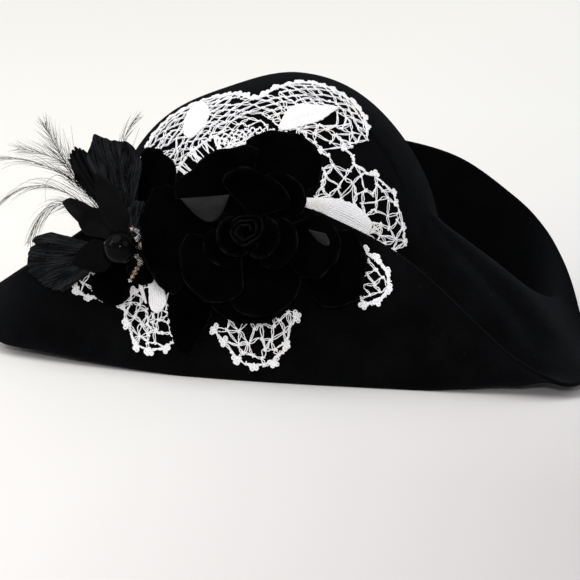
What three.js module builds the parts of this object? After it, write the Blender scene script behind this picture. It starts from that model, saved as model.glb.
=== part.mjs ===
// A wide-brim felt hat, trimmed with a crocheted doily, a velvet rose, a smaller flower and feathers.
// Millimetres, +Z up, +X along the brim's long way. The wearer's near side faces -Y.
// The shapes are worked out with the crown's axis at x = y = 0 and the floor at z = 0. At the end the whole
// group is moved so that its origin lies under the middle of its box.
import * as THREE from "three";

// Felt: one wall, the crown as half an ellipsoid on a short upright wall. Its top is CROWN_DIP lower towards -X,
// over CROWN_DIP_REACH of the way from the top to the shoulder.
const FELT_WALL = 2.5;
const CROWN_HALF_LENGTH = 100;
const CROWN_HALF_WIDTH = 82;
const CROWN_SHOULDER_Z = 62.5;
const CROWN_RISE = 103;
const CROWN_TOP_SHIFT = 8;
const CROWN_LEAN = 2.6;
const CROWN_DIP = 4;
const CROWN_DIP_REACH = 0.8;
const FOOT_ROUND = 11;
const FOLD_ROUND = 18;
const FLAP_BULGE = 5;
const FULL_FLAP = 120;
const CROWN_RINGS = 6;
// The brim's rings, as shares of the way out. The round foot ends at FOOT_SHARE, and FOLD_SHARE is the fold.
const FOOT_SHARE = 0.1;
const FOLD_SHARE = 0.37;
// The near flap reaches FLAP_SPAN of the way round to each side, and stands up from the share FLAP_FOOT. Near
// its middle it is about FLAP_HEIGHT high, and a whole turn would be FLAP_TURN long. A flap of the height
// FULL_FLAP bulges by FLAP_BULGE.
const FLAP_SPAN = 0.22;
const FLAP_FOOT = 0.43;
const FLAP_HEIGHT = 110;
const FLAP_TURN = 1530;
const BRIM_LEVELS = [0.05, 0.1, 0.19, 0.27, 0.32, 0.37, 0.41, 0.46, 0.58, 0.72, 0.86, 1];

// The brim, a row for each section from the crown's foot out to the free edge.
// deg: place round the crown; foot: height where the brim leaves it; fold_*: the lowest line of the section;
// edge_*: the free edge; steps: stations up to the next row.
const BRIM_SECTIONS = [
  { deg: -90, foot: 36, fold_x: 0, fold_y: -101, fold_z: -9, edge_x: 0, edge_y: -80, edge_z: 108, steps: 3 },
  { deg: -68, foot: 37, fold_x: 46, fold_y: -97, fold_z: -9, edge_x: 43, edge_y: -81, edge_z: 103, steps: 2 },
  { deg: -48, foot: 41, fold_x: 86, fold_y: -91, fold_z: -9, edge_x: 81, edge_y: -86, edge_z: 92, steps: 2 },
  { deg: -35, foot: 48, fold_x: 113, fold_y: -87, fold_z: -8, edge_x: 110, edge_y: -90, edge_z: 79, steps: 1 },
  { deg: -25, foot: 57, fold_x: 138, fold_y: -84, fold_z: -5, edge_x: 134, edge_y: -92, edge_z: 62, steps: 1 },
  { deg: -18, foot: 65, fold_x: 160, fold_y: -80, fold_z: -2, edge_x: 155, edge_y: -91, edge_z: 43, steps: 2 },
  { deg: -12, foot: 73, fold_x: 178, fold_y: -73, fold_z: 1, edge_x: 178, edge_y: -89, edge_z: 24, steps: 2 },
  { deg: -8, foot: 79, fold_x: 184, fold_y: -60, fold_z: 10, edge_x: 203, edge_y: -79, edge_z: 9, steps: 2 },
  { deg: -4, foot: 83, fold_x: 168, fold_y: -32, fold_z: 29, edge_x: 212, edge_y: -54, edge_z: 8, steps: 2 },
  { deg: 0, foot: 86, fold_x: 150, fold_y: -6, fold_z: 52, edge_x: 204, edge_y: -20, edge_z: 10, steps: 2 },
  { deg: 5, foot: 83, fold_x: 147, fold_y: 22, fold_z: 42, edge_x: 189, edge_y: 12, edge_z: 26, steps: 2 },
  { deg: 11, foot: 75, fold_x: 151, fold_y: 50, fold_z: 22, edge_x: 175, edge_y: 38, edge_z: 42, steps: 1 },
  { deg: 18, foot: 66, fold_x: 150, fold_y: 75, fold_z: 8, edge_x: 161, edge_y: 62, edge_z: 54, steps: 1 },
  { deg: 26, foot: 56, fold_x: 138, fold_y: 95, fold_z: -2, edge_x: 144, edge_y: 83, edge_z: 66, steps: 2 },
  { deg: 37, foot: 47, fold_x: 116, fold_y: 104, fold_z: -7, edge_x: 122, edge_y: 94, edge_z: 82, steps: 2 },
  { deg: 50, foot: 40, fold_x: 84, fold_y: 107, fold_z: -9, edge_x: 86, edge_y: 95, edge_z: 104, steps: 2 },
  { deg: 68, foot: 37, fold_x: 44, fold_y: 108, fold_z: -9, edge_x: 44, edge_y: 92, edge_z: 114, steps: 2 },
  { deg: 90, foot: 36, fold_x: 0, fold_y: 108, fold_z: -9, edge_x: 0, edge_y: 90, edge_z: 115, steps: 2 },
  { deg: 112, foot: 37, fold_x: -46, fold_y: 108, fold_z: -9, edge_x: -43, edge_y: 90, edge_z: 110, steps: 3 },
  { deg: 132, foot: 41, fold_x: -86, fold_y: 107, fold_z: -9, edge_x: -82, edge_y: 93, edge_z: 98, steps: 2 },
  { deg: 145, foot: 48, fold_x: -113, fold_y: 104, fold_z: -8, edge_x: -110, edge_y: 95, edge_z: 79, steps: 1 },
  { deg: 155, foot: 56, fold_x: -138, fold_y: 99, fold_z: -5, edge_x: -134, edge_y: 96, edge_z: 58, steps: 1 },
  { deg: 162, foot: 64, fold_x: -160, fold_y: 93, fold_z: -1, edge_x: -156, edge_y: 94, edge_z: 37, steps: 1 },
  { deg: 168, foot: 71, fold_x: -176, fold_y: 82, fold_z: 3, edge_x: -178, edge_y: 86, edge_z: 18, steps: 2 },
  { deg: 172, foot: 76, fold_x: -180, fold_y: 62, fold_z: 8, edge_x: -198, edge_y: 72, edge_z: 5, steps: 2 },
  { deg: 176, foot: 79, fold_x: -164, fold_y: 32, fold_z: 25, edge_x: -206, edge_y: 44, edge_z: 5, steps: 2 },
  { deg: 180, foot: 81, fold_x: -148, fold_y: 6, fold_z: 47, edge_x: -201, edge_y: 16, edge_z: 12, steps: 1 },
  { deg: 185, foot: 78, fold_x: -144, fold_y: -24, fold_z: 38, edge_x: -189, edge_y: -12, edge_z: 21, steps: 1 },
  { deg: 191, foot: 72, fold_x: -158, fold_y: -55, fold_z: 14, edge_x: -177, edge_y: -38, edge_z: 28, steps: 1 },
  { deg: 198, foot: 64, fold_x: -162, fold_y: -76, fold_z: 5, edge_x: -162, edge_y: -60, edge_z: 34, steps: 1 },
  { deg: 206, foot: 55, fold_x: -147, fold_y: -90, fold_z: 1, edge_x: -146, edge_y: -78, edge_z: 42, steps: 2 },
  { deg: 217, foot: 46, fold_x: -118, fold_y: -97, fold_z: 0, edge_x: -124, edge_y: -90, edge_z: 57, steps: 2 },
  { deg: 230, foot: 40, fold_x: -84, fold_y: -101, fold_z: -3, edge_x: -86, edge_y: -87, edge_z: 82, steps: 2 },
  { deg: 248, foot: 37, fold_x: -44, fold_y: -103, fold_z: -6, edge_x: -44, edge_y: -82, edge_z: 101, steps: 3 },
];

const FELT_PLACES = BRIM_SECTIONS.flatMap(({ steps }, row) =>
  Array.from({ length: steps }, (_, step) => (row + step / steps) / BRIM_SECTIONS.length),
);
const FELT_STATIONS = FELT_PLACES.length;

// The doily: crocheted cotton, one part on the crown and one on the near flap. Its lobes stand round a hidden
// middle. angle: a lobe's direction, half: its half width in degrees, reach: how far its tip lies from the
// middle, valley: how far the doily reaches beside it. Each lobe holds a solid leaf in its middle column, and
// net elsewhere. The doily hugs the felt: its own middle lies LACE_CROWN_LIFT or LACE_FLAP_LIFT from the
// middle of the wall.
const GAP = 0.3;
const LACE_WALL = 1;
const LACE_CROWN_LIFT = FELT_WALL / 2 + 0.95 + LACE_WALL / 2;
const LACE_FLAP_LIFT = FELT_WALL / 2 + 0.7 + LACE_WALL / 2;
const LACE_INNER = 30;
const LACE_HOLE = 0.66;
const LOBE_POWER = 2.5;
const LACE_CROWN_RADIUS = 95;
const LACE_CROWN_DEG = -80;
const LACE_CROWN_SWEEP = 1.3;
const LACE_FLAP_X = -5;
const LACE_FLAP_Z = 84;
const LOBE_COLUMNS = [-1, -0.62, -0.22, 0.22, 0.62, 1];
const CROWN_LOBES = [
  { angle: 12, half: 24, reach: 101, valley: 84 },
  { angle: 67, half: 28, reach: 108, valley: 84 },
  { angle: 129, half: 29, reach: 106, valley: 84 },
];
const FLAP_LOBES = [
  { angle: -157, half: 12, reach: 95, valley: 56 },
  { angle: -122, half: 19, reach: 84, valley: 56 },
  { angle: -66, half: 25, reach: 82, valley: 56 },
  { angle: -12, half: 14, reach: 112, valley: 66 },
];

// Both flowers. A petal starts at PETAL_ROOT of its half width, and its corners lie TIP_DROP lower than its
// tip. The powers set how late it rises and bends back. Beyond WIDE_PETAL degrees it takes more columns.
const PETAL_WALL = 1.2;
const PETAL_ROOT = 0.5;
const WIDE_PETAL = 16;
const TIP_DROP = 0.2;
const TIP_POWER = 2.5;
const CUP_POWER = 1.8;
const CURL_POWER = 6;
const WRINKLE = 1.2;
const FOLD_GAP = 0.45;
const HUB_SIDES = 12;
const HUB_CHAMFER = 1.2;

// The rose, and its petals from the back to the front.
const ROSE_MIDDLE = [24, -108, 91];
const ROSE_OUT = [0.22, -0.95, 0.22];
const ROSE_HUB_RADIUS = 8;
const ROSE_HUB_BACK = -18.1;
const ROSE_HUB_FRONT = 13;
const ROSE_ROOT = 8.4;
const ROSE_PETALS = [
  { name: "back_top", finish: "velvet", angle: 66, half: 30, reach: 62, layer: 0, cup: 0, curl: 3 },
  { name: "back_left", finish: "velvet", angle: 186, half: 34, reach: 68, layer: 0, cup: 1, curl: -5 },
  { name: "back_right", finish: "velvet", angle: -21, half: 24, reach: 75, layer: 0, cup: 1, curl: 3 },
  { name: "back_low", finish: "velvet", angle: 268, half: 34, reach: 53, layer: 0, cup: 1, curl: 3 },
  { name: "mid_upper_left", finish: "velvet", angle: 121, half: 36, reach: 55, layer: 3.5, cup: 9, curl: 3 },
  { name: "mid_lower_left", finish: "velvet", angle: 224, half: 41, reach: 48, layer: 3.5, cup: 10, curl: 3 },
  { name: "mid_low", finish: "velvet", angle: 286, half: 43, reach: 50, layer: 1.75, cup: 7, curl: 3 },
  { name: "mid_right", finish: "velvet", angle: -12, half: 28, reach: 52, layer: 3.5, cup: 9, curl: 3 },
  { name: "mid_upper_right", finish: "velvet", angle: 48, half: 28, reach: 41, layer: 3.5, cup: 10, curl: 2 },
  { name: "inner_top", finish: "velvet", angle: 76, half: 44, reach: 36, layer: 7, cup: 16, curl: 3 },
  { name: "inner_left", finish: "velvet", angle: 212, half: 38, reach: 28, layer: 7, cup: 15, curl: 3 },
  { name: "inner_right", finish: "velvet", angle: 338, half: 46, reach: 31, layer: 7, cup: 15, curl: 3 },
  { name: "core_left", finish: "velvet", angle: 205, half: 66, reach: 18, layer: 10.5, cup: 13, curl: 1 },
  { name: "core_right", finish: "velvet", angle: 338, half: 62, reach: 20, layer: 10.5, cup: 13, curl: 1 },
];
const ROSE_FOLDS = [
  { name: "rose_fold_large", under: "mid_upper_left", corners: [[-40, 18], [-12, 21], [-17, 5], [-29, 5]] },
  { name: "rose_fold_small", under: "mid_right", corners: [[34, 2], [44, 0], [50, -8], [39, -6]] },
];
const BUD_TURNS = 2.4;
const BUD_INNER = 2.2;
const BUD_OUTER = 9;
const BUD_FLARE = 1;
const BUD_HEIGHT = 17;
const BUD_STEP = 5;
const BUD_CELLS = 20;

// The leaf that hangs below the rose, in front of the flap and the doily. Its outline is a part of a sine
// wave, from LEAF_START over LEAF_SHARE of it.
const LEAF_X = -16.5;
const LEAF_LEAN = -7;
const LEAF_TOP_Z = 66;
const LEAF_TIP_Z = 15;
const LEAF_HALF_WIDTH = 14.5;
const LEAF_LIFT = LACE_FLAP_LIFT + LACE_WALL / 2 + PETAL_WALL / 2 + 0.45;
const LEAF_CUP = 1;
const LEAF_START = 0.2;
const LEAF_SHARE = 0.76;
const LEAF_POWER = 0.8;

// The smaller flower at the left, with its bead, its stamens and the feathers behind it.
const FLOWER_MIDDLE = [-54, -100.3, 74.8];
const FLOWER_OUT = [0.1, -0.97, 0.2];
const FLOWER_HUB_RADIUS = 6;
const FLOWER_HUB_BACK = -5.8;
const FLOWER_HUB_FRONT = 12;
const FLOWER_ROOT = 6.4;
const BEAD_RADIUS = 9.75;
const BEAD_SIDES = 14;
const BEAD_RINGS = 7;
const FLOWER_PETALS = [
  { name: "back_dark", finish: "satin", angle: 72, half: 15, reach: 63, layer: 0, cup: 0, curl: 4 },
  { name: "top_small", finish: "crinkled", angle: 124, half: 9, reach: 67, layer: 0, cup: 3, curl: 3, waves: 2 },
  { name: "satin_left", finish: "satin", angle: 147, half: 13, reach: 49, layer: 0, cup: 7, curl: 0, point: 0.5 },
  { name: "fan", finish: "crinkled", angle: 194, half: 22, reach: 66, layer: 0, cup: 4, curl: 5, waves: 5 },
  { name: "low", finish: "velvet", angle: 246, half: 27, reach: 36, layer: 0, cup: 5, curl: 2 },
  { name: "low_right", finish: "velvet", angle: 302, half: 25, reach: 29, layer: 0, cup: 3, curl: 0 },
  { name: "right", finish: "velvet", angle: 12, half: 28, reach: 31, layer: 0, cup: 3, curl: 0 },
  { name: "top", finish: "crinkled", angle: 101, half: 18, reach: 68, layer: 3.5, cup: 5, curl: 4, waves: 5 },
  { name: "rim", finish: "satin", angle: 147, half: 20, reach: 33, layer: 3.5, cup: 9, curl: 0 },
  { name: "satin_low", finish: "satin", angle: 198, half: 30, reach: 34, layer: 3.5, cup: 9, curl: 1, point: 0.4 },
  { name: "leaf", finish: "satin", angle: 113, half: 23, reach: 46, layer: 7, cup: 13, curl: 2, point: 0.6 },
  { name: "small", finish: "crinkled", angle: 67, half: 21, reach: 29, layer: 7, cup: 8, curl: 1, waves: 3 },
];
const STRING_WIRE = 0.7;
const STRING_BEAD = 1.7;
const STRING_SIDES = 10;
const RINGS_PER_BEAD = 3;
const STAMENS = [
  { beads: 2, path: [[5, 4.2, 8], [8.4, 8, 12], [8, 10, 18], [5.5, 11.4, 22]] },
  { beads: 3, path: [[6.9, 0.6, 7], [11.5, 1, 11], [13.6, 1.6, 17], [12.6, 2.6, 24]] },
  { beads: 4, path: [[5.4, -4, 8], [9.6, -7.6, 12], [10.4, -10, 18], [4.6, -20, 16]] },
];
const FEATHER_WALL = 0.8;
const FEATHER_CELLS = 8;
const FEATHER_NOTCH = 0.35;
const FEATHER_LEAST = 0.12;
const FEATHER_START = 0.02;
const FEATHER_SHARE = 0.92;
const FEATHER_POWER = 1.2;
const SPINE_STEP = 0.01;
const FEATHERS = [
  { name: "up_right", angle: 106, bend: -16, late: 3, reach: 76, half: 2.2, layer: -2.2, rise: 1.5 },
  { name: "up", angle: 136, bend: -7, late: 1.5, reach: 90, half: 4.4, layer: -2.2, rise: 1.5 },
  { name: "up_left", angle: 119, bend: 24, late: 1.5, reach: 91, half: 3.6, layer: -3.6, rise: 1 },
  { name: "left_thin", angle: 131, bend: 19, late: 2, reach: 97, half: 1.8, layer: -3.6, rise: 1 },
  { name: "left", angle: 142, bend: 23.5, late: 4, reach: 86, half: 2, layer: -3.6, rise: 1 },
  { name: "left_low", angle: 149, bend: 31, late: 9, reach: 63, half: 3, layer: -2.2, rise: 0 },
];

const FINISHES = {
  felt: { color: 0x14151a, roughness: 0.95, metalness: 0 },
  lace: { color: 0xe9e6ea, roughness: 0.9, metalness: 0 },
  velvet: { color: 0x0d0d10, roughness: 0.9, metalness: 0 },
  satin: { color: 0x4a4d52, roughness: 0.45, metalness: 0 },
  crinkled: { color: 0x3c3f45, roughness: 0.65, metalness: 0 },
  feather: { color: 0x1b1b1e, roughness: 0.8, metalness: 0 },
  bead: { color: 0x050506, roughness: 0.08, metalness: 0 },
  crystal: { color: 0xcfd2d6, roughness: 0.08, metalness: 0 },
};

const SEARCH_ROUNDS = 12;

const vec = (x, y, z) => new THREE.Vector3(x, y, z);
const radians = THREE.MathUtils.degToRad;

// A cubic through four values, at t between the second and the third.
function cubicAt(a, b, c, d, t) {
  const slopeB = (c - a) / 2;
  const slopeC = (d - b) / 2;
  const t2 = t * t;
  const t3 = t2 * t;
  const rise = 3 * t2 - 2 * t3;
  return b * (1 - rise) + slopeB * (t3 - 2 * t2 + t) + c * rise + slopeC * (t3 - t2);
}

// The brim's section at s, from 0 to 1 round the hat, with every column eased between the rows.
function sectionAt(s) {
  const count = BRIM_SECTIONS.length;
  const place = (((s % 1) + 1) % 1) * count;
  const first = Math.floor(place);
  const rows = [-1, 0, 1, 2].map((step) => BRIM_SECTIONS[(first + step + count) % count]);
  const turns = [-1, 0, 1, 2].map((step) => Math.floor((first + step) / count) * 360);
  const section = {};
  for (const column of Object.keys(BRIM_SECTIONS[0])) {
    const values = rows.map((row, i) => row[column] + (column === "deg" ? turns[i] : 0));
    section[column] = cubicAt(...values, place - first);
  }
  return section;
}

// A point of the crown's middle surface: sweep is 0 at the top and a quarter turn at the shoulder.
function crownPoint(deg, sweep) {
  const level = Math.cos(Math.min(sweep, Math.PI / 2));
  const round = Math.sin(Math.min(sweep, Math.PI / 2));
  const below = Math.max(sweep - Math.PI / 2, 0);
  const lean = CROWN_TOP_SHIFT * level ** 4 - CROWN_LEAN * 2 * level * round;
  const dented = Math.sin(Math.PI * Math.min(round / CROWN_DIP_REACH, 1)) ** 2;
  const dip = CROWN_DIP * dented * Math.max(-Math.cos(radians(deg)), 0);
  return vec(
    CROWN_HALF_LENGTH * round * Math.cos(radians(deg)) + lean,
    CROWN_HALF_WIDTH * round * Math.sin(radians(deg)),
    CROWN_SHOULDER_Z + CROWN_RISE * (level - below) - dip,
  );
}

// How far the crown sweeps down to reach a height.
function sweepTo(z) {
  const level = (z - CROWN_SHOULDER_Z) / CROWN_RISE;
  return level > 0 ? Math.acos(level) : Math.PI / 2 - level;
}

// A point of the brim's middle surface: t is 0 where the crown turns out and 1 at the free edge. A round foot
// leads into two straight legs that meet in a round fold. The second leg bulges outwards, and the felt lies
// flat where it would sink into the floor.
function brimPoint(section, t) {
  const foot = crownPoint(section.deg, sweepTo(section.foot));
  const fold = vec(section.fold_x, section.fold_y, section.fold_z);
  const edge = vec(section.edge_x, section.edge_y, section.edge_z);
  const legIn = foot.distanceTo(fold);
  const legOut = edge.distanceTo(fold);
  const reach = Math.min(FOLD_ROUND, legIn / 2, legOut / 2);
  const inward = foot.clone().sub(fold).divideScalar(legIn);
  const outward = edge.clone().sub(fold).divideScalar(legOut);
  if (t < FOOT_SHARE) {
    const turn = t / FOOT_SHARE;
    const above = crownPoint(section.deg, sweepTo(section.foot + FOOT_ROUND));
    const start = foot.clone().addScaledVector(inward, -FOOT_ROUND);
    return above.lerp(foot, turn).lerp(foot.lerp(start, turn), turn);
  }
  const legShare = (t - FOLD_SHARE) / (FOLD_SHARE - FOOT_SHARE);
  const outShare = (t - FOLD_SHARE) / (1 - FOLD_SHARE);
  const along = t < FOLD_SHARE ? legShare * (legIn - FOOT_ROUND) : outShare * legOut;
  const point = fold.clone();
  if (along < -reach) point.addScaledVector(inward, -along);
  else if (along > reach) point.addScaledVector(outward, along);
  else {
    const turn = (along + reach) / (2 * reach);
    point.addScaledVector(inward, reach * (1 - turn) ** 2).addScaledVector(outward, reach * turn ** 2);
  }
  const up = Math.max(along, 0) / legOut;
  const swell = (FLAP_BULGE * 4 * up * (1 - up) * legOut) / FULL_FLAP;
  const away = Math.hypot(fold.x, fold.y);
  point.x += (swell * fold.x) / away / 2;
  point.y += (swell * fold.y) / away;
  point.z = Math.max(point.z, FELT_WALL / 2);
  return point;
}

// The felt's middle surface: s goes round the hat. v is 0 at the crown's top, 1 above its foot, 2 at the edge.
function feltPoint(s, v) {
  const section = sectionAt(s);
  if (v <= 1) return crownPoint(section.deg, Math.max(v, 0) * sweepTo(section.foot + FOOT_ROUND));
  return brimPoint(section, Math.min(v, 2) - 1);
}

// The unit normal of a surface given by a function of two numbers. On the felt it points out of the crown and
// into the flaps.
function normalOf(surface, s, v, low = -Infinity, high = Infinity) {
  const step = 1e-4;
  const alongS = surface(s + step, v).sub(surface(s - step, v));
  const alongV = surface(s, Math.min(v + step, high)).sub(surface(s, Math.max(v - step, low)));
  return alongV.cross(alongS).normalize();
}

function feltOffset(s, v, distance) {
  const point = feltPoint(s, v);
  if (v <= 0) return point.add(vec(0, 0, distance));
  return point.addScaledVector(normalOf(feltPoint, s, v, 0, 2), distance);
}

// A closed geometry from a list of points and a list of triangles.
function closedGeometry(points, triangles) {
  const geometry = new THREE.BufferGeometry();
  const places = points.flatMap((point) => point.toArray());
  geometry.setAttribute("position", new THREE.Float32BufferAttribute(places, 3));
  geometry.setIndex(triangles.flat());
  geometry.computeVertexNormals();
  return geometry;
}

// The felt wall: an outer and an inner skin, each closed at the crown's top and joined along the free edge.
function feltGeometry() {
  const rings = CROWN_RINGS + BRIM_LEVELS.length;
  const points = [];
  const triangles = [];
  const levels = Array.from({ length: CROWN_RINGS + 1 }, (_, ring) => ring / CROWN_RINGS);
  levels.push(...BRIM_LEVELS.map((level) => 1 + level));
  const skinSize = 1 + rings * FELT_STATIONS;
  const index = (skin, ring, station) =>
    skin * skinSize + (ring ? 1 + (ring - 1) * FELT_STATIONS + (station % FELT_STATIONS) : 0);
  for (const side of [1, -1]) {
    points.push(feltOffset(0, 0, (side * FELT_WALL) / 2));
    for (let ring = 1; ring <= rings; ring++)
      for (let station = 0; station < FELT_STATIONS; station++)
        points.push(feltOffset(FELT_PLACES[station], levels[ring], (side * FELT_WALL) / 2));
  }
  const add = (skin, a, b, c) => triangles.push(skin ? [a, c, b] : [a, b, c]);
  for (const skin of [0, 1])
    for (let station = 0; station < FELT_STATIONS; station++) {
      add(skin, index(skin, 0, 0), index(skin, 1, station), index(skin, 1, station + 1));
      for (let ring = 1; ring < rings; ring++) {
        const [a, b] = [index(skin, ring, station), index(skin, ring, station + 1)];
        const [c, d] = [index(skin, ring + 1, station), index(skin, ring + 1, station + 1)];
        const outer = [a, b, c, d].map((corner) => points[corner - skin * skinSize]);
        const straight = outer[0].distanceTo(outer[3]) < outer[1].distanceTo(outer[2]);
        add(skin, a, c, straight ? d : b);
        add(skin, straight ? a : c, d, b);
      }
    }
  for (let station = 0; station < FELT_STATIONS; station++) {
    const [a, b] = [index(0, rings, station), index(0, rings, station + 1)];
    const [c, d] = [index(1, rings, station), index(1, rings, station + 1)];
    triangles.push([a, c, d], [a, d, b]);
  }
  return closedGeometry(points, triangles);
}

function piece(name, geometry, finish) {
  const mesh = new THREE.Mesh(geometry, new THREE.MeshStandardMaterial(FINISHES[finish]));
  mesh.name = name;
  return mesh;
}

// A closed sheet of even thickness round a middle surface that is a function of u and v, each from 0 to 1. A
// cell that the test pierced names gets a four-sided hole, which takes up the share `hole` of the cell.
function sheetGeometry({ surface, across, along, wall, pierced = () => false, hole = 0 }) {
  const points = [];
  const triangles = [];
  const quad = (a, b, c, d) => triangles.push([a, b, c], [a, c, d]);
  const put = (u, v) => {
    const normal = normalOf(surface, u, v);
    const middle = surface(u, v);
    points.push(middle.clone().addScaledVector(normal, wall / 2), middle.addScaledVector(normal, -wall / 2));
    return points.length - 2;
  };
  const grid = [];
  for (let i = 0; i <= across; i++) {
    grid.push([]);
    for (let j = 0; j <= along; j++) grid[i].push(put(i / across, j / along));
  }
  // Each place holds two points, of which the second is on the back. Corners run round the cell.
  const band = (outer, inner) =>
    outer.forEach((corner, k) => {
      const next = (k + 1) % outer.length;
      quad(corner, outer[next], inner[next], inner[k]);
      quad(corner + 1, inner[k] + 1, inner[next] + 1, outer[next] + 1);
    });
  const rim = (from, to) => quad(to, from, from + 1, to + 1);
  for (let i = 0; i < across; i++)
    for (let j = 0; j < along; j++) {
      const cell = [grid[i][j], grid[i][j + 1], grid[i + 1][j + 1], grid[i + 1][j]];
      if (!pierced(i, j)) {
        quad(...cell);
        quad(...cell.toReversed().map((corner) => corner + 1));
        continue;
      }
      const [low, high] = [(1 - hole) / 2, (1 + hole) / 2];
      const inner = [[low, low], [low, high], [high, high], [high, low]];
      const ring = inner.map(([u, v]) => put((i + u) / across, (j + v) / along));
      band(cell, ring);
      ring.forEach((corner, k) => rim(ring[(k + 1) % 4], corner));
    }
  for (let i = 0; i < across; i++) {
    rim(grid[i + 1][0], grid[i][0]);
    rim(grid[i][along], grid[i + 1][along]);
  }
  for (let j = 0; j < along; j++) {
    rim(grid[0][j], grid[0][j + 1]);
    rim(grid[across][j + 1], grid[across][j]);
  }
  return closedGeometry(points, triangles);
}

// The doily's places round its hidden middle where its columns of net lie.
function lobeColumns(lobes) {
  return lobes.flatMap(({ angle, half }) => LOBE_COLUMNS.map((share) => angle + share * half));
}

function laceReach(lobes, angle) {
  const reaches = lobes.map(({ angle: middle, half, reach, valley }) => {
    const off = Math.min(Math.abs(angle - middle) / half, 1);
    return valley + (reach - valley) * (1 - off ** LOBE_POWER);
  });
  return Math.max(...reaches);
}

function laceGeometry(lobes, rows, place) {
  const columns = lobeColumns(lobes);
  const across = columns.length - 1;
  const surface = (u, v) => {
    const at = u * across;
    const first = THREE.MathUtils.clamp(Math.floor(at), 0, across - 1);
    const angle = columns[first] + (columns[first + 1] - columns[first]) * (at - first);
    return place(LACE_INNER + v * (laceReach(lobes, angle) - LACE_INNER), angle);
  };
  const inLobe = (i) => i % LOBE_COLUMNS.length;
  const leaf = (i, j) => inLobe(i) === 2 && j >= 1 && j <= 2;
  const pierced = (i, j) => j > 0 && !leaf(i, j) && (inLobe(i) < 5 || j < 2);
  return sheetGeometry({ surface, across, along: rows, wall: LACE_WALL, pierced, hole: LACE_HOLE });
}

// A place on the crown's outside, at a distance and a direction from the doily's middle there.
function onCrown(distance, angle) {
  const middle = vec(
    Math.sin(LACE_CROWN_SWEEP) * Math.cos(radians(LACE_CROWN_DEG)),
    Math.sin(LACE_CROWN_SWEEP) * Math.sin(radians(LACE_CROWN_DEG)),
    Math.cos(LACE_CROWN_SWEEP),
  );
  const sideways = vec(-Math.sin(radians(LACE_CROWN_DEG)), Math.cos(radians(LACE_CROWN_DEG)), 0);
  const upwards = middle.clone().cross(sideways);
  const turn = distance / LACE_CROWN_RADIUS;
  const way = sideways.multiplyScalar(Math.cos(radians(angle)));
  way.addScaledVector(upwards, Math.sin(radians(angle)));
  const spot = middle.multiplyScalar(Math.cos(turn)).addScaledVector(way, Math.sin(turn));
  const deg = THREE.MathUtils.radToDeg(Math.atan2(spot.y, spot.x));
  const surface = (turnDeg, sweep) => crownPoint(turnDeg * 100, sweep);
  const sweep = Math.acos(spot.z);
  return crownPoint(deg, sweep).addScaledVector(normalOf(surface, deg / 100, sweep), LACE_CROWN_LIFT);
}

// A place in front of the near flap, found by its x and z on the felt, at a distance from the wall's middle.
function onFlap(x, z, lift) {
  let s = x / FLAP_TURN;
  let v = 1 + FOLD_SHARE + ((1 - FOLD_SHARE) * z) / FLAP_HEIGHT;
  const step = 1e-4;
  for (let round = 0; round < SEARCH_ROUNDS; round++) {
    const point = feltPoint(s, v);
    const byS = feltPoint(s + step, v).sub(point).divideScalar(step);
    const byV = feltPoint(s, v + step).sub(point).divideScalar(step);
    const [missX, missZ] = [x - point.x, z - point.z];
    const area = byS.x * byV.z - byV.x * byS.z;
    s = THREE.MathUtils.clamp(s + (missX * byV.z - missZ * byV.x) / area, -FLAP_SPAN, FLAP_SPAN);
    v = THREE.MathUtils.clamp(v + (missZ * byS.x - missX * byS.z) / area, 1 + FLAP_FOOT, 2 - 2 * step);
  }
  return feltOffset(s, v, -lift);
}

function onFlapFrom(distance, angle) {
  const x = LACE_FLAP_X + distance * Math.cos(radians(angle));
  const z = LACE_FLAP_Z + distance * Math.sin(radians(angle));
  return onFlap(x, z, LACE_FLAP_LIFT);
}

// A flower's own frame: places in it are given as across, up and out, from its middle.
function bloomFrame(middle, out) {
  const front = out.clone().normalize();
  const right = vec(-front.y, front.x, 0).normalize();
  const up = front.clone().cross(right);
  return (across, upwards, outwards) => {
    const place = middle.clone().addScaledVector(right, across).addScaledVector(up, upwards);
    return place.addScaledVector(front, outwards);
  };
}

// A petal that fans out from the hub. angle and half: its direction and half width, reach: the tip's distance
// from the hub's axis, layer: where it starts along the axis, cup: how far it rises, curl: how far its rim
// bends back, waves: how many wrinkles run out to the rim, point: how much lower a pointed petal's corners lie.
function petalSurface(frame, root, { angle, half, reach, layer, cup, curl, waves = 0, point = 0 }) {
  return (u, v) => {
    const side = 2 * u - 1;
    const opening = Math.sin((Math.PI / 2) * THREE.MathUtils.clamp(v, 0, 1));
    const direction = radians(angle + side * half * (PETAL_ROOT + (1 - PETAL_ROOT) * opening));
    const drop = point ? point * Math.abs(side) : TIP_DROP * Math.abs(side) ** TIP_POWER;
    const tip = reach * (1 - drop);
    const distance = root + (tip - root) * v;
    const share = Math.max((distance - root) / (reach - root), 0);
    const wrinkle = waves ? WRINKLE * share * Math.sin(Math.PI * waves * side) : 0;
    const out = layer + cup * share ** CUP_POWER - curl * share ** CURL_POWER + wrinkle;
    return frame(distance * Math.cos(direction), distance * Math.sin(direction), out);
  };
}

function petal(prefix, frame, root, row) {
  const across = row.waves ? 2 * row.waves : row.half > WIDE_PETAL ? 5 : 3;
  const surface = petalSurface(frame, root, row);
  const geometry = sheetGeometry({ surface, across, along: 3, wall: PETAL_WALL });
  return piece(prefix + row.name, geometry, row.finish);
}

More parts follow.
